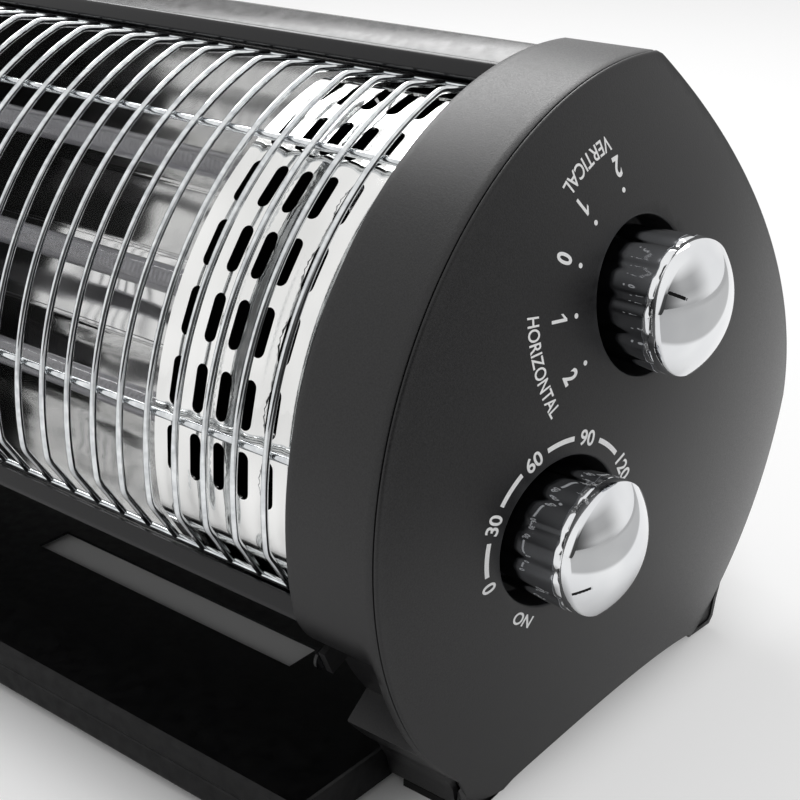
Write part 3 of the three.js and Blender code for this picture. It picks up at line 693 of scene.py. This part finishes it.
def along_tube(shape, v, sign=1):
    """A shape made about its own line put on a tube's line, turned over for the far end."""
    points, faces = shape
    return aimed(points * (sign, 1, 1) + (0, TUBE_U, v)), faces


quartz, tree, surface = finish("milky_quartz", (0.8, 0.8, 0.82), 0.08)
surface.inputs["Transmission Weight"].default_value = 0.72
surface.inputs["IOR"].default_value = 1.46
cloud = grain(tree, 90, stretch=(0.15, 1, 1))
tinted(tree, surface, cloud, (0.66, 0.66, 0.7), (0.82, 0.82, 0.84))
relief(tree, surface, cloud, 0.3, 0.03)
coil_wire = drawn_metal("coil_wire", (0.08, 0.07, 0.06), (0.22, 0.2, 0.18), 0.45, 1500, 0.01)
ceramic = moulded("cream_ceramic", (0.68, 0.64, 0.56), (0.78, 0.74, 0.66), 0.6, 1200, 0.03)
half_wall = [(TUBE_BORE, -TUBE_HALF_LENGTH), (4.7, -TUBE_HALF_LENGTH),
             (TUBE_RADIUS, 0.3 - TUBE_HALF_LENGTH)]
tube_wall = half_wall + [(radius, -x) for radius, x in half_wall[::-1]]
for place, v in TUBE_V.items():
    add_piece(place + "_glass_tube", along_tube(turned(tube_wall), v), quartz,
              [place + "_quartz_tube"])
    add_piece(place + "_wound_coil", along_tube(winding(), v), coil_wire,
              [place + "_heating_coil"])
    for end, sign in ENDS.items():
        add_piece(place + "_" + end + "_ceramic", along_tube(turned(HOLDER_PROFILE), v, sign),
                  ceramic, [place + "_" + end + "_holder"], merge=0.005)


# ---- End shields
# Polished steel sheets behind the last wires hide the tube holders. Between rows of punched
# slots with round ends the sheet is pressed into shallow grooves.

GUARD_RADIUS = 115.0
GUARD_BEND = math.radians(38)
SHIELD_RADIUS = 109.6
SHIELD_BEND = math.radians(40)
SHIELD_START_X = 203.6
SHIELD_SLOT = (4.4, 14.7)
SLOT_PITCH = 9.7
SLOT_COLUMNS = SHIELD_START_X + 7.8 + SLOT_PITCH * np.arange(5)
SLOT_ROWS = np.radians([-28.7, -17.7, -6.7, 4.3, 15.3, 26.3, 37.3])
SHIELD_THICKNESS = 0.8
SHIELD_LEG = 15.5
SHIELD_FOLD = 2.0
GROOVE_DEPTH = 0.22


def bent_shield(s):
    """(u, v) at a length s along the shield from its middle: an arc, an eased fold, then
    straight legs that run in to the rails. The heading is summed up in fine steps."""
    arc = SHIELD_RADIUS * SHIELD_BEND
    leg = np.array((LEG_END[0] + 5 + SHIELD_RADIUS * math.cos(SHIELD_BEND),
                    LEG_END[1] - 0.5 - SHIELD_RADIUS * math.sin(SHIELD_BEND)))
    end = arc + SHIELD_LEG + 1.5
    fine = np.linspace(0, end, 4000)
    heading = np.interp(fine, [0, arc - SHIELD_FOLD, arc + SHIELD_FOLD, end],
                        [0, SHIELD_BEND, *[math.atan2(*leg)] * 2])
    step = np.diff(fine, prepend=0)
    u = -SHIELD_RADIUS + np.cumsum(np.sin(heading) * step)
    v = np.cumsum(np.cos(heading) * step)
    return np.interp(np.abs(s), fine, u), np.sign(s) * np.interp(np.abs(s), fine, v)


def punched_slot(x, s):
    width, length = SHIELD_SLOT
    top = width / 2 * unit(np.linspace(0, math.pi, 9)) + (0, (length - width) / 2)
    return np.concatenate([top, -top]) + (x, s)


def slotted_shield(sign):
    """The flat blank with its slots, bent, and pushed in and out by a cosine of x across the
    grooves that fades at the edges."""
    reach = SHIELD_RADIUS * SHIELD_BEND + SHIELD_LEG
    corners = rectangle((SHIELD_START_X, -reach), (SHEET_END_X, reach))
    blank = np.concatenate([np.linspace(corners[i], corners[(i + 1) % 4], n, endpoint=False)
                            for i, n in enumerate((40, 90, 40, 90))])
    slots = [punched_slot(x, angle * SHIELD_RADIUS) for x in SLOT_COLUMNS for angle in SLOT_ROWS]
    flat, triangles = filled(blank, slots, 1.3)
    x, s = flat.T
    u, v = bent_shield(s)
    groove = GROOVE_DEPTH * np.cos((x - SLOT_COLUMNS[0]) / SLOT_PITCH * 2 * math.pi)
    groove *= np.clip((SHIELD_RADIUS * SHIELD_BEND - np.abs(s)) / 6, 0, 1)
    groove *= np.clip((SLOT_COLUMNS[-1] + 6.3 - x) / 3, 0, 1)
    groove *= np.clip((x - SHIELD_START_X - 1) / 3, 0, 1)
    out = np.arctan2(v, -u)
    return aimed(np.column_stack([sign * x, u - groove * np.cos(out),
                                  v + groove * np.sin(out)])), [triangles]


polished_steel = drawn_metal("polished_steel", (0.76, 0.76, 0.75), (0.9, 0.9, 0.89),
                             0.08, 30, 0.08)
for end, sign in ENDS.items():
    shield = add_piece(end + "_slotted_shield", slotted_shield(sign), polished_steel,
                       [end + "_shield"], crease=30)
    walled(shield, SHIELD_THICKNESS, offset=0)


# ---- Wire guard
# Chrome plated round wires bend over the grille on four lengthwise wires, to which they are
# welded. Each ends in two short legs behind the rails' noses.

WIRE_RADIUS = 1.1
CROSS_WIRE_RADIUS = 1.3
CROSS_WIRE_ANGLE = math.radians(23)
WIRE_PITCH = 12.12
WIRE_COUNT = 43


def guard_line():
    """(u, v) points: lower leg, arc and upper leg, with the two bends eased."""
    turn = np.linspace(-GUARD_BEND, GUARD_BEND, 41)
    arc = GUARD_RADIUS * unit(turn) * (-1, 1)
    low, high = (LEG_END[0], -LEG_END[1]), LEG_END
    return np.concatenate([eased([low, arc[0], arc[1]], 2.5, 7)[:-1], arc[1:-1],
                           eased([arc[-2], arc[-1], high], 2.5, 7)[1:]])


def round_bar(path, radius, across, sides=12):
    """A circle carried along a flat path, across being the normal of the path's plane."""
    path = np.asarray(path, float)
    tangent = np.gradient(path, axis=0)
    tangent /= np.linalg.norm(tangent, axis=1, keepdims=True)
    normal = np.cross(tangent, across)
    ring = circle(radius, sides)
    points, faces = bar(path[:, None] + ring[:, :1] * normal[:, None] + ring[:, 1:] * across)
    return aimed(points), faces


def wire_guard():
    line = guard_line()
    bars = [round_bar(np.column_stack([np.full(len(line), x), line]), WIRE_RADIUS, (1, 0, 0))
            for x in (np.arange(WIRE_COUNT) - (WIRE_COUNT - 1) / 2) * WIRE_PITCH]
    under = GUARD_RADIUS - WIRE_RADIUS - CROSS_WIRE_RADIUS * 0.9
    u, v = -under * math.cos(CROSS_WIRE_ANGLE), under * math.sin(CROSS_WIRE_ANGLE)
    for place in ((u, v), (u, -v), LEG_END, (LEG_END[0], -LEG_END[1])):
        path = [(x, *place) for x in np.linspace(-SHEET_END_X, SHEET_END_X, 12)]
        bars.append(round_bar(path, CROSS_WIRE_RADIUS, (0, 0, 1)))
    return joined(bars)


wire_chrome = drawn_metal("wire_chrome", (0.6, 0.62, 0.64), (0.82, 0.84, 0.85),
                          0.06, 300, 0.004)
add_piece("chromed_wire_guard", wire_guard(), wire_chrome, ["wire_guard"])


# ---- Knobs
# Each knob is plated. The skirt's chrome has a darker colour, painted shade for the dark face it
# mirrors. Twelve soft flutes run up to a cap, whose fluted edge is turned in to a fine crease.
# Inside it a smooth dome has an engraved pointer, filled with black paint.

KNOB_RADIUS = 20.3
FLUTE_DEPTH = 0.85
SKIRT_X = WELL_FLOOR_X + 1
SKIRT_HEIGHT = 23.25
CAP_X = SKIRT_X + SKIRT_HEIGHT + 0.05
CAP_HEIGHT = 13.4
DOME_SPHERE = 29.0
POINTER_REACH = (14.8, 19.6)
POINTER_WIDTH = 1.0
POINTER_DEPTH = 0.45
KNOB_ZERO = {"selector": math.radians(-94), "timer": math.radians(-141)}


def knob_skin(profile, turn, engraved=False):
    """Rows of (radius share, x, flute share) round the spindle: twelve lobes of
    (1 - cos 12t) / 2 that are broader than the valleys between them, and where asked a flat
    groove with steep sides towards +y."""
    share, x, fluted = (column[:, None] for column in np.asarray(profile, float).T)
    lobes = -FLUTE_DEPTH * (0.5 - 0.5 * np.cos(12 * turn)) ** 2.6
    radius = share * (KNOB_RADIUS + fluted * lobes)
    y, z = radius * np.cos(turn), radius * np.sin(turn)
    if engraved:
        start, end = POINTER_REACH
        cut = np.clip((POINTER_WIDTH / 2 - np.abs(z)) / 0.06, 0, 1) * (y > 0)
        cut = cut * np.clip((y - start) / 0.2, 0, 1) * np.clip((end - y) / 0.2, 0, 1)
        x = x - POINTER_DEPTH * cut * (x > CAP_X + 5)
    return skin(np.stack(np.broadcast_arrays(x, y, z), axis=-1))


def chrome_cap():
    """Fluted edge turned in by a bevel, a crease, then a smooth shoulder into a sphere over the
    middle. Columns stand close together across the pointer."""
    rim = [(0, 0, 0), (0.99, 0, 1), (0.999, 0.1, 1), (1, 0.5, 1), (0.999, 0.9, 1), (0.997, 1.4, 1),
           (0.994, 1.8, 0.85), (0.99, 2.05, 0.5), (0.987, 2.15, 0.15), (0.986, 2.2, 0),
           (0.986, 2.26, 0), (0.988, 2.7, 0), (0.989, 3.4, 0), (0.988, 4.2, 0), (0.984, 4.9, 0),
           (0.976, 5.4, 0)]
    share = np.concatenate([np.linspace(0.967, 0.72, 40), np.linspace(0.71, 0, 30)])
    height = CAP_HEIGHT - DOME_SPHERE + np.sqrt(DOME_SPHERE ** 2 - (share * KNOB_RADIUS) ** 2)
    profile = np.concatenate([rim, np.column_stack([share, height, np.zeros(len(share))])])
    near = np.linspace(-0.045, 0.045, 61)
    turn = np.concatenate([near, np.linspace(0.045, 2 * math.pi - 0.045, 401)[1:-1]])
    return knob_skin(profile + (0, CAP_X, 0), turn, engraved=True)


def plated_skirt():
    """A fluted side that widens a little from its rounded foot to the cap."""
    top = SKIRT_X + SKIRT_HEIGHT
    side = [(0.963 + 0.036 * rise, SKIRT_X + 1.5 + rise * (SKIRT_HEIGHT - 1.6), 1)
            for rise in np.linspace(0, 1, 8)]
    return knob_skin([(0, SKIRT_X, 0), (0.94, SKIRT_X, 1), (0.96, SKIRT_X + 0.6, 1), *side,
                      (0.99, top, 1), (0, top, 0)], np.arange(480) * math.pi / 240)


def pointer_paint():
    """A strip of paint over the groove's floor: the dome's sphere, lowered."""
    y = np.linspace(POINTER_REACH[0] + 0.1, POINTER_REACH[1] - 0.1, 14)[:, None]
    z = np.linspace(-1, 1, 3)[None] * (POINTER_WIDTH / 2 - 0.04)
    x = CAP_X + CAP_HEIGHT - DOME_SPHERE - POINTER_DEPTH + 0.12 + np.sqrt(
        DOME_SPHERE ** 2 - y ** 2 - z ** 2)
    return skin(np.stack(np.broadcast_arrays(x, y, z), axis=-1), around=False)


def spun(flat, turn):
    """Flat points turned about their zero, anticlockwise."""
    cos, sin = math.cos(turn), math.sin(turn)
    return flat @ np.array([(cos, sin), (-sin, cos)])


def on_spindle(shape, name):
    """Turns a knob's pointer to its zero mark and puts the knob on its spindle."""
    points, faces = shape
    turn = math.atan2(*level(math.sin(KNOB_ZERO[name]), math.cos(KNOB_ZERO[name]))[::-1])
    flat = spun(points[:, 1:], turn) + level(-KNOB_FORWARD, KNOB_SPREAD[name])
    return at_x(points[:, 0], flat), faces


plated = drawn_metal("chrome_plate", (0.74, 0.75, 0.77), (0.86, 0.87, 0.88), 0.05, 60, 0.002)
# The skirt's darker chrome colour is painted shade: it stands in for the dark face that the skirt
# mirrors.
skirt_chrome_painted_shade = drawn_metal("chrome_plate_painted_shade", (0.36, 0.37, 0.39), (0.46, 0.47, 0.49),
                          0.05, 60, 0.002)
paint = smooth_coat("black_paint", (0.004, 0.004, 0.004), 0.5, 0.02, specular=0.2)
zinc = drawn_metal("zinc_plate", (0.3, 0.31, 0.32), (0.46, 0.47, 0.48), 0.38, 400, 0.02)
for name in KNOB_SPREAD:
    body = name + "_control"
    add_piece(name + "_domed_cap", on_spindle(chrome_cap(), name), plated,
              [name + "_knob_cap"], body, merge=0.003, crease=45)
    add_piece(name + "_fluted_skirt", on_spindle(plated_skirt(), name), skirt_chrome_painted_shade,
              [name + "_knob_skirt"], body, merge=0.003, crease=45)
    line = add_piece(name + "_pointer_line", on_spindle(pointer_paint(), name), paint,
                     body=body, front=(1, 0, 0))
    walled(line, 0.08)
    dress(zinc, name + "_shaft")


# ---- Printed dials
# White ink on the dome: dots, numbers, arcs and plain words round the two wells. Letters stand
# with their feet away from the selector, and upright along the timer's arc.

INK_LIFT = 0.05
INK_THICKNESS = 0.04
DOT_ANGLES = {-42.8: "2", -70.6: "1", -94.2: "0", -118.8: "1", -144.2: "2"}
DOT_RING = 32.0
DOT_RADIUS = 0.75
DIGIT_RING = 38.6
DIGIT_HEIGHT = 5.9
DIGIT_SLIMNESS = 0.8
WORDS = {"VERTICAL": (-57.6, 45.7, 4.3, 23.6), "HORIZONTAL": (-133.9, 48.3, 4.3, 29.9)}
MINUTES = {-140.7: "0", -100.2: "30", -57.5: "60", -13.8: "90", 31.9: "120"}
MINUTE_RING = 28.2
MINUTE_HEIGHT = 4.7
ON_HEIGHT = 4.0
ON_PLACE = (27.6, 175.0)
ARCS = ((-133, -111), (-89, -68), (-46.5, -25), (-2.5, 18))
ARC_WIDTH = 1.5


def lettering(text, height, length=None, slim=1.0, weight=0.02):
    """Flat triangles of a text about its middle, of a given height, made a little bolder by its
    weight, and squeezed to a length or by a share."""
    curve = bpy.data.curves.new("text", "FONT")
    curve.body = text
    curve.size = height
    curve.offset = weight * height
    holder = placed("text", curve)
    bpy.context.view_layer.update()
    mesh = holder.to_mesh()
    mesh.calc_loop_triangles()
    flat = np.array([vertex.co[:2] for vertex in mesh.vertices])
    triangles = np.array([triangle.vertices[:] for triangle in mesh.loop_triangles])
    holder.to_mesh_clear()
    bpy.data.objects.remove(holder)
    bpy.data.curves.remove(curve)
    flat -= (flat.min(axis=0) + flat.max(axis=0)) / 2
    wide, high = np.ptp(flat, axis=0)
    scale = height / high
    return flat * (length / wide if length else scale * slim, scale), [triangles]


def flagged_one(height):
    """The digit 1 as a stem with a slanting flag and no foot."""
    outline = np.array([(0.06, -0.5), (0.22, -0.5), (0.22, 0.5), (0.1, 0.5), (-0.16, 0.26),
                        (-0.16, 0.12), (0.06, 0.3)]) - (0.08, 0)
    return outline * height, [np.array([(0, 1, 2), (0, 2, 6), (2, 3, 6), (3, 4, 6), (4, 5, 6)])]


def on_ring(radius, degrees):
    """(across, up) at a radius from a knob and an angle clockwise from up, seen from +X."""
    return (radius * unit(np.radians(degrees)).T[::-1]).T


def straight(flat, radius, degrees, turn):
    """A flat shape turned clockwise by an angle, with its middle on a ring."""
    return spun(flat, -math.radians(turn)) + on_ring(radius, degrees)


def bent(flat, radius, degrees):
    """A word bent round a ring, its letters' heads towards the knob."""
    return on_ring(radius - flat[:, 1], degrees - np.degrees(flat[:, 0] / radius))


prints = []


def inked(knob, flat, faces):
    """Adds a print at flat (across, up) places beside a knob, put on the dome's skin."""
    y, z = level(flat[:, 0] - KNOB_FORWARD, flat[:, 1] + KNOB_SPREAD[knob])
    prints.append((np.column_stack([dome_x(y, z) + INK_LIFT, y, z + AXIS_HEIGHT]), faces))


for angle, digit in DOT_ANGLES.items():
    dot = circle(DOT_RADIUS, 20, on_ring(DOT_RING, angle)[0])
    inked("selector", dot, [np.arange(20)[None]])
    flat, faces = (flagged_one(DIGIT_HEIGHT) if digit == "1" else
                   lettering(digit, DIGIT_HEIGHT, slim=DIGIT_SLIMNESS, weight=0.03))
    inked("selector", straight(flat, DIGIT_RING, angle, angle + 180), faces)
for word, (angle, radius, height, length) in WORDS.items():
    flat, faces = lettering(word, height, length, weight=0.012)
    inked("selector", bent(flat, radius, angle), faces)
for angle, number in MINUTES.items():
    flat, faces = lettering(number, MINUTE_HEIGHT)
    inked("timer", straight(flat, MINUTE_RING, angle, angle), faces)
flat, faces = lettering("ON", ON_HEIGHT)
inked("timer", straight(flat, *ON_PLACE, 0), faces)
for first, last in ARCS:
    turn = np.linspace(first, last, 14)
    band = np.concatenate([on_ring(MINUTE_RING + side * ARC_WIDTH / 2, turn)
                           for side in (-1, 1)])
    i = np.arange(13)
    inked("timer", band, [np.column_stack([i, i + 1, i + 15, i + 14])])
ink = moulded("white_ink", (0.8, 0.8, 0.8), (0.9, 0.9, 0.9), 0.5, 1500, 0.005)
dial = add_piece("dial_print", joined(prints), ink, front=(1, 0, 0))
walled(dial, INK_THICKNESS, offset=1)


# ---- Switches, screws and the cord's inlet
# Cream and black plastic switches on the cheeks, a brass cut-out, a black screw on each lug, the
# plunger that feels the floor when the heater stands upright, and a rubber gland.

dress(moulded("cream_plastic", (0.52, 0.48, 0.38), (0.6, 0.56, 0.46), 0.5, 900, 0.02),
      "selector_switch", "timer_movement", "terminal_block", "tip_plunger")
dress(smooth_coat("gloss_black_plastic", (0.004, 0.004, 0.0045), 0.09, 0.02),
      "tip_switch", "tilt_switch")
dress(drawn_metal("brass", (0.36, 0.22, 0.06), (0.5, 0.33, 0.1), 0.35, 500, 0.01),
      "thermal_cutout")
dress(enamel, "control_flange_screw", "far_flange_screw")
dress(rubber, "cord_gland")


# ---- Camera
# Close to the control end, on the grille's side of it and above it. The lens is a little long,
# so the far end runs out of the picture.

CAMERA_PLACE = Vector((528.6, -386.9, 310.2)) * MM
CAMERA_AZIMUTH = math.radians(129.6)
CAMERA_ELEVATION = math.radians(-23.4)
CAMERA_LENS = 69.75
SENSOR_WIDTH = 36
flat_reach = math.cos(CAMERA_ELEVATION)
view = Vector((flat_reach * math.cos(CAMERA_AZIMUTH), flat_reach * math.sin(CAMERA_AZIMUTH),
               math.sin(CAMERA_ELEVATION)))
camera = placed("camera", bpy.data.cameras.new("camera"))
camera.location = CAMERA_PLACE
camera.rotation_euler = view.to_track_quat("-Z", "Y").to_euler()
camera.data.lens = CAMERA_LENS
camera.data.sensor_width = SENSOR_WIDTH
camera.data.clip_start = 0.01
camera.data.clip_end = 50
bpy.context.scene.camera = camera


# ---- Floor and studio
# A white sheet under the heater, pale surroundings that are darker on the side of the camera,
# and two soft lights, overhead and behind to the right.

FLOOR_REACH = 9.0
SHEET_EDGE = 0.52
UNDER_OBJECT = {"X": 0.27, "Y": 0.11}
SHADOW_FADE = 0.05
GLOSS_FADE = 0.2
CAMERA_GLOW = 0.5
GLOSS_GLOW = 0.75
WHITE = (1, 1, 1, 1)


def maths(tree, operation, *values):
    """A math node over sockets and numbers."""
    node = tree.nodes.new("ShaderNodeMath")
    node.operation = operation
    for socket, value in zip(node.inputs, values):
        if isinstance(value, (int, float)):
            socket.default_value = value
        else:
            tree.links.new(value, socket)
    return node.outputs["Value"]


def stepped(tree, value, stops):
    """A grey that goes from stop to stop, each a place from 0 to 1 and a brightness."""
    node = added(tree, "ValToRGB", Fac=value)
    ramp = node.color_ramp
    for place, _ in stops[1:-1]:
        ramp.elements.new(place)
    for element, (place, bright) in zip(ramp.elements, stops):
        element.position = place
        element.color = (bright, bright, bright, 1)
    return node.outputs["Color"]


def spread(tree, value, low, high):
    """A value as a smooth share between low and high."""
    node = added(tree, "MapRange", Value=value, From_Min=low, From_Max=high)
    node.interpolation_type = "SMOOTHSTEP"
    return node.outputs["Result"]


def mixed(tree, kind, share, first, second):
    """Two colours or shaders mixed, the second one by its share."""
    node = tree.nodes.new("ShaderNodeMix" + kind)
    for socket, value in zip(node.inputs, (share, first, second)):
        if isinstance(value, tuple):
            socket.default_value = value
        else:
            tree.links.new(value, socket)
    return node.outputs[0]


def gloss_ray(tree, rays):
    """1 for rays that a mirror or glass sends on, else 0."""
    return maths(tree, "MAXIMUM", rays["Is Glossy Ray"], rays["Is Transmission Ray"])


# The floor's own white is lifted to the backdrop's for the camera and for gloss, but under the
# object it has only the light that reaches it.
floor_white, tree, surface = finish("white_floor", (0.9, 0.9, 0.9), 0.7, specular=0.2)
roughened(tree, surface, grain(tree, 3), 0.65, 0.75)
rays = added(tree, "LightPath").outputs
place = added(tree, "NewGeometry").outputs["Position"]
axes = added(tree, "SeparateXYZ", Vector=place).outputs
past = maths(tree, "ADD", *(
    maths(tree, "MAXIMUM", maths(
        tree, "SUBTRACT", maths(tree, "ABSOLUTE", axes[axis]), reach), 0.0)
    for axis, reach in UNDER_OBJECT.items()))
lit = surface.outputs["BSDF"]
glow = added(tree, "Emission", Color=WHITE).outputs["Emission"]
lifted = maths(tree, "MULTIPLY", spread(tree, past, 0.0, SHADOW_FADE), CAMERA_GLOW)
seen = mixed(tree, "Shader", rays["Is Camera Ray"], lit, mixed(tree, "Shader", lifted, lit, glow))
beyond = maths(tree, "MULTIPLY_ADD", axes["X"], 2.0, 0.5 - 2 * SHEET_EDGE)
tone = stepped(tree, beyond, ((0.0, 1.0), (0.47, 1.0), (0.53, 0.45), (1.0, 0.45)))
mirror_glow = added(tree, "Emission", Color=tone).outputs["Emission"]
share = maths(tree, "MULTIPLY", gloss_ray(tree, rays), spread(tree, past, 0.0, GLOSS_FADE))
share = maths(tree, "MULTIPLY", share, GLOSS_GLOW)
tree.links.new(mixed(tree, "Shader", share, seen, mirror_glow),
               tree.nodes["Material Output"].inputs["Surface"])
floor_mesh = bpy.data.meshes.new("floor")
corners = rectangle((-FLOOR_REACH, -FLOOR_REACH), (FLOOR_REACH, FLOOR_REACH))
floor_mesh.from_pydata([(*corner, 0) for corner in corners.tolist()], [], [(0, 1, 2, 3)])
floor_mesh.materials.append(floor_white)
floor = placed("floor", floor_mesh)

# The studio round the object: plain light for matte surfaces, and for gloss a room that is grey
# at eye level, darker over it, white overhead, pale behind the object and dark on the camera's
# side but for a white panel before the far end.
PLAIN_LIGHT = 0.58
PANEL_TOWARDS = (-0.6, -0.67, 0.44)
world = bpy.data.worlds.new("studio")
bpy.context.scene.world = world
world.use_nodes = True
tree = world.node_tree
rays = added(tree, "LightPath").outputs
towards = added(tree, "TexCoord").outputs["Generated"]
axes = added(tree, "SeparateXYZ", Vector=towards).outputs
height = maths(tree, "MULTIPLY_ADD", axes["Z"], 0.5, 0.5)
side_room = stepped(tree, height, ((0.0, 0.45), (0.5, 0.45), (0.53, 0.55), (0.6, 0.4),
                                   (0.7, 0.45), (0.8, 0.95), (1.0, 0.95)))
front_room = stepped(tree, height, ((0.0, 0.3), (0.5, 0.05), (0.74, 0.08), (0.86, 0.9),
                                    (1.0, 0.95)))
behind = maths(tree, "MULTIPLY_ADD", axes["Y"], 0.8, maths(tree, "MULTIPLY", axes["X"], -0.1))
panel = added(tree, "VectorMath")
panel.operation = "DOT_PRODUCT"
panel.inputs[1].default_value = PANEL_TOWARDS
tree.links.new(towards, panel.inputs[0])
room = mixed(tree, "RGB", spread(tree, behind, -0.45, -0.05), front_room, side_room)
room = mixed(tree, "RGB", spread(tree, panel.outputs["Value"], 0.72, 0.82), room,
             (0.95, 0.95, 0.95, 1))
room = mixed(tree, "RGB", spread(tree, behind, 0.1, 0.55), room, (0.92, 0.92, 0.92, 1))
room = mixed(tree, "RGB", gloss_ray(tree, rays), (PLAIN_LIGHT, PLAIN_LIGHT, PLAIN_LIGHT, 1), room)
tree.links.new(mixed(tree, "RGB", rays["Is Camera Ray"], room, WHITE),
               tree.nodes["Background"].inputs["Color"])


def softbox(name, place, target, size, watts, mirrored):
    """A rectangular area light, in metres, that no camera sees and, unless mirrored, no gloss."""
    light = bpy.data.lights.new(name, "AREA")
    light.shape = "RECTANGLE"
    light.size, light.size_y = size
    light.energy = watts
    lamp = placed(name, light)
    lamp.location = place
    lamp.rotation_euler = (Vector(target) - Vector(place)).to_track_quat("-Z", "Y").to_euler()
    lamp.visible_camera = False
    lamp.visible_glossy = mirrored


softbox("overhead", (-0.58, 0.53, 1.18), (0.2, 0, 0.1), (1.0, 0.6), 13, True)
softbox("back_right", (1.5, 1.1, 0.9), (0.3, 0, 0.1), (1.4, 1.2), 6, False)
bpy.context.scene.view_settings.view_transform = "Standard"
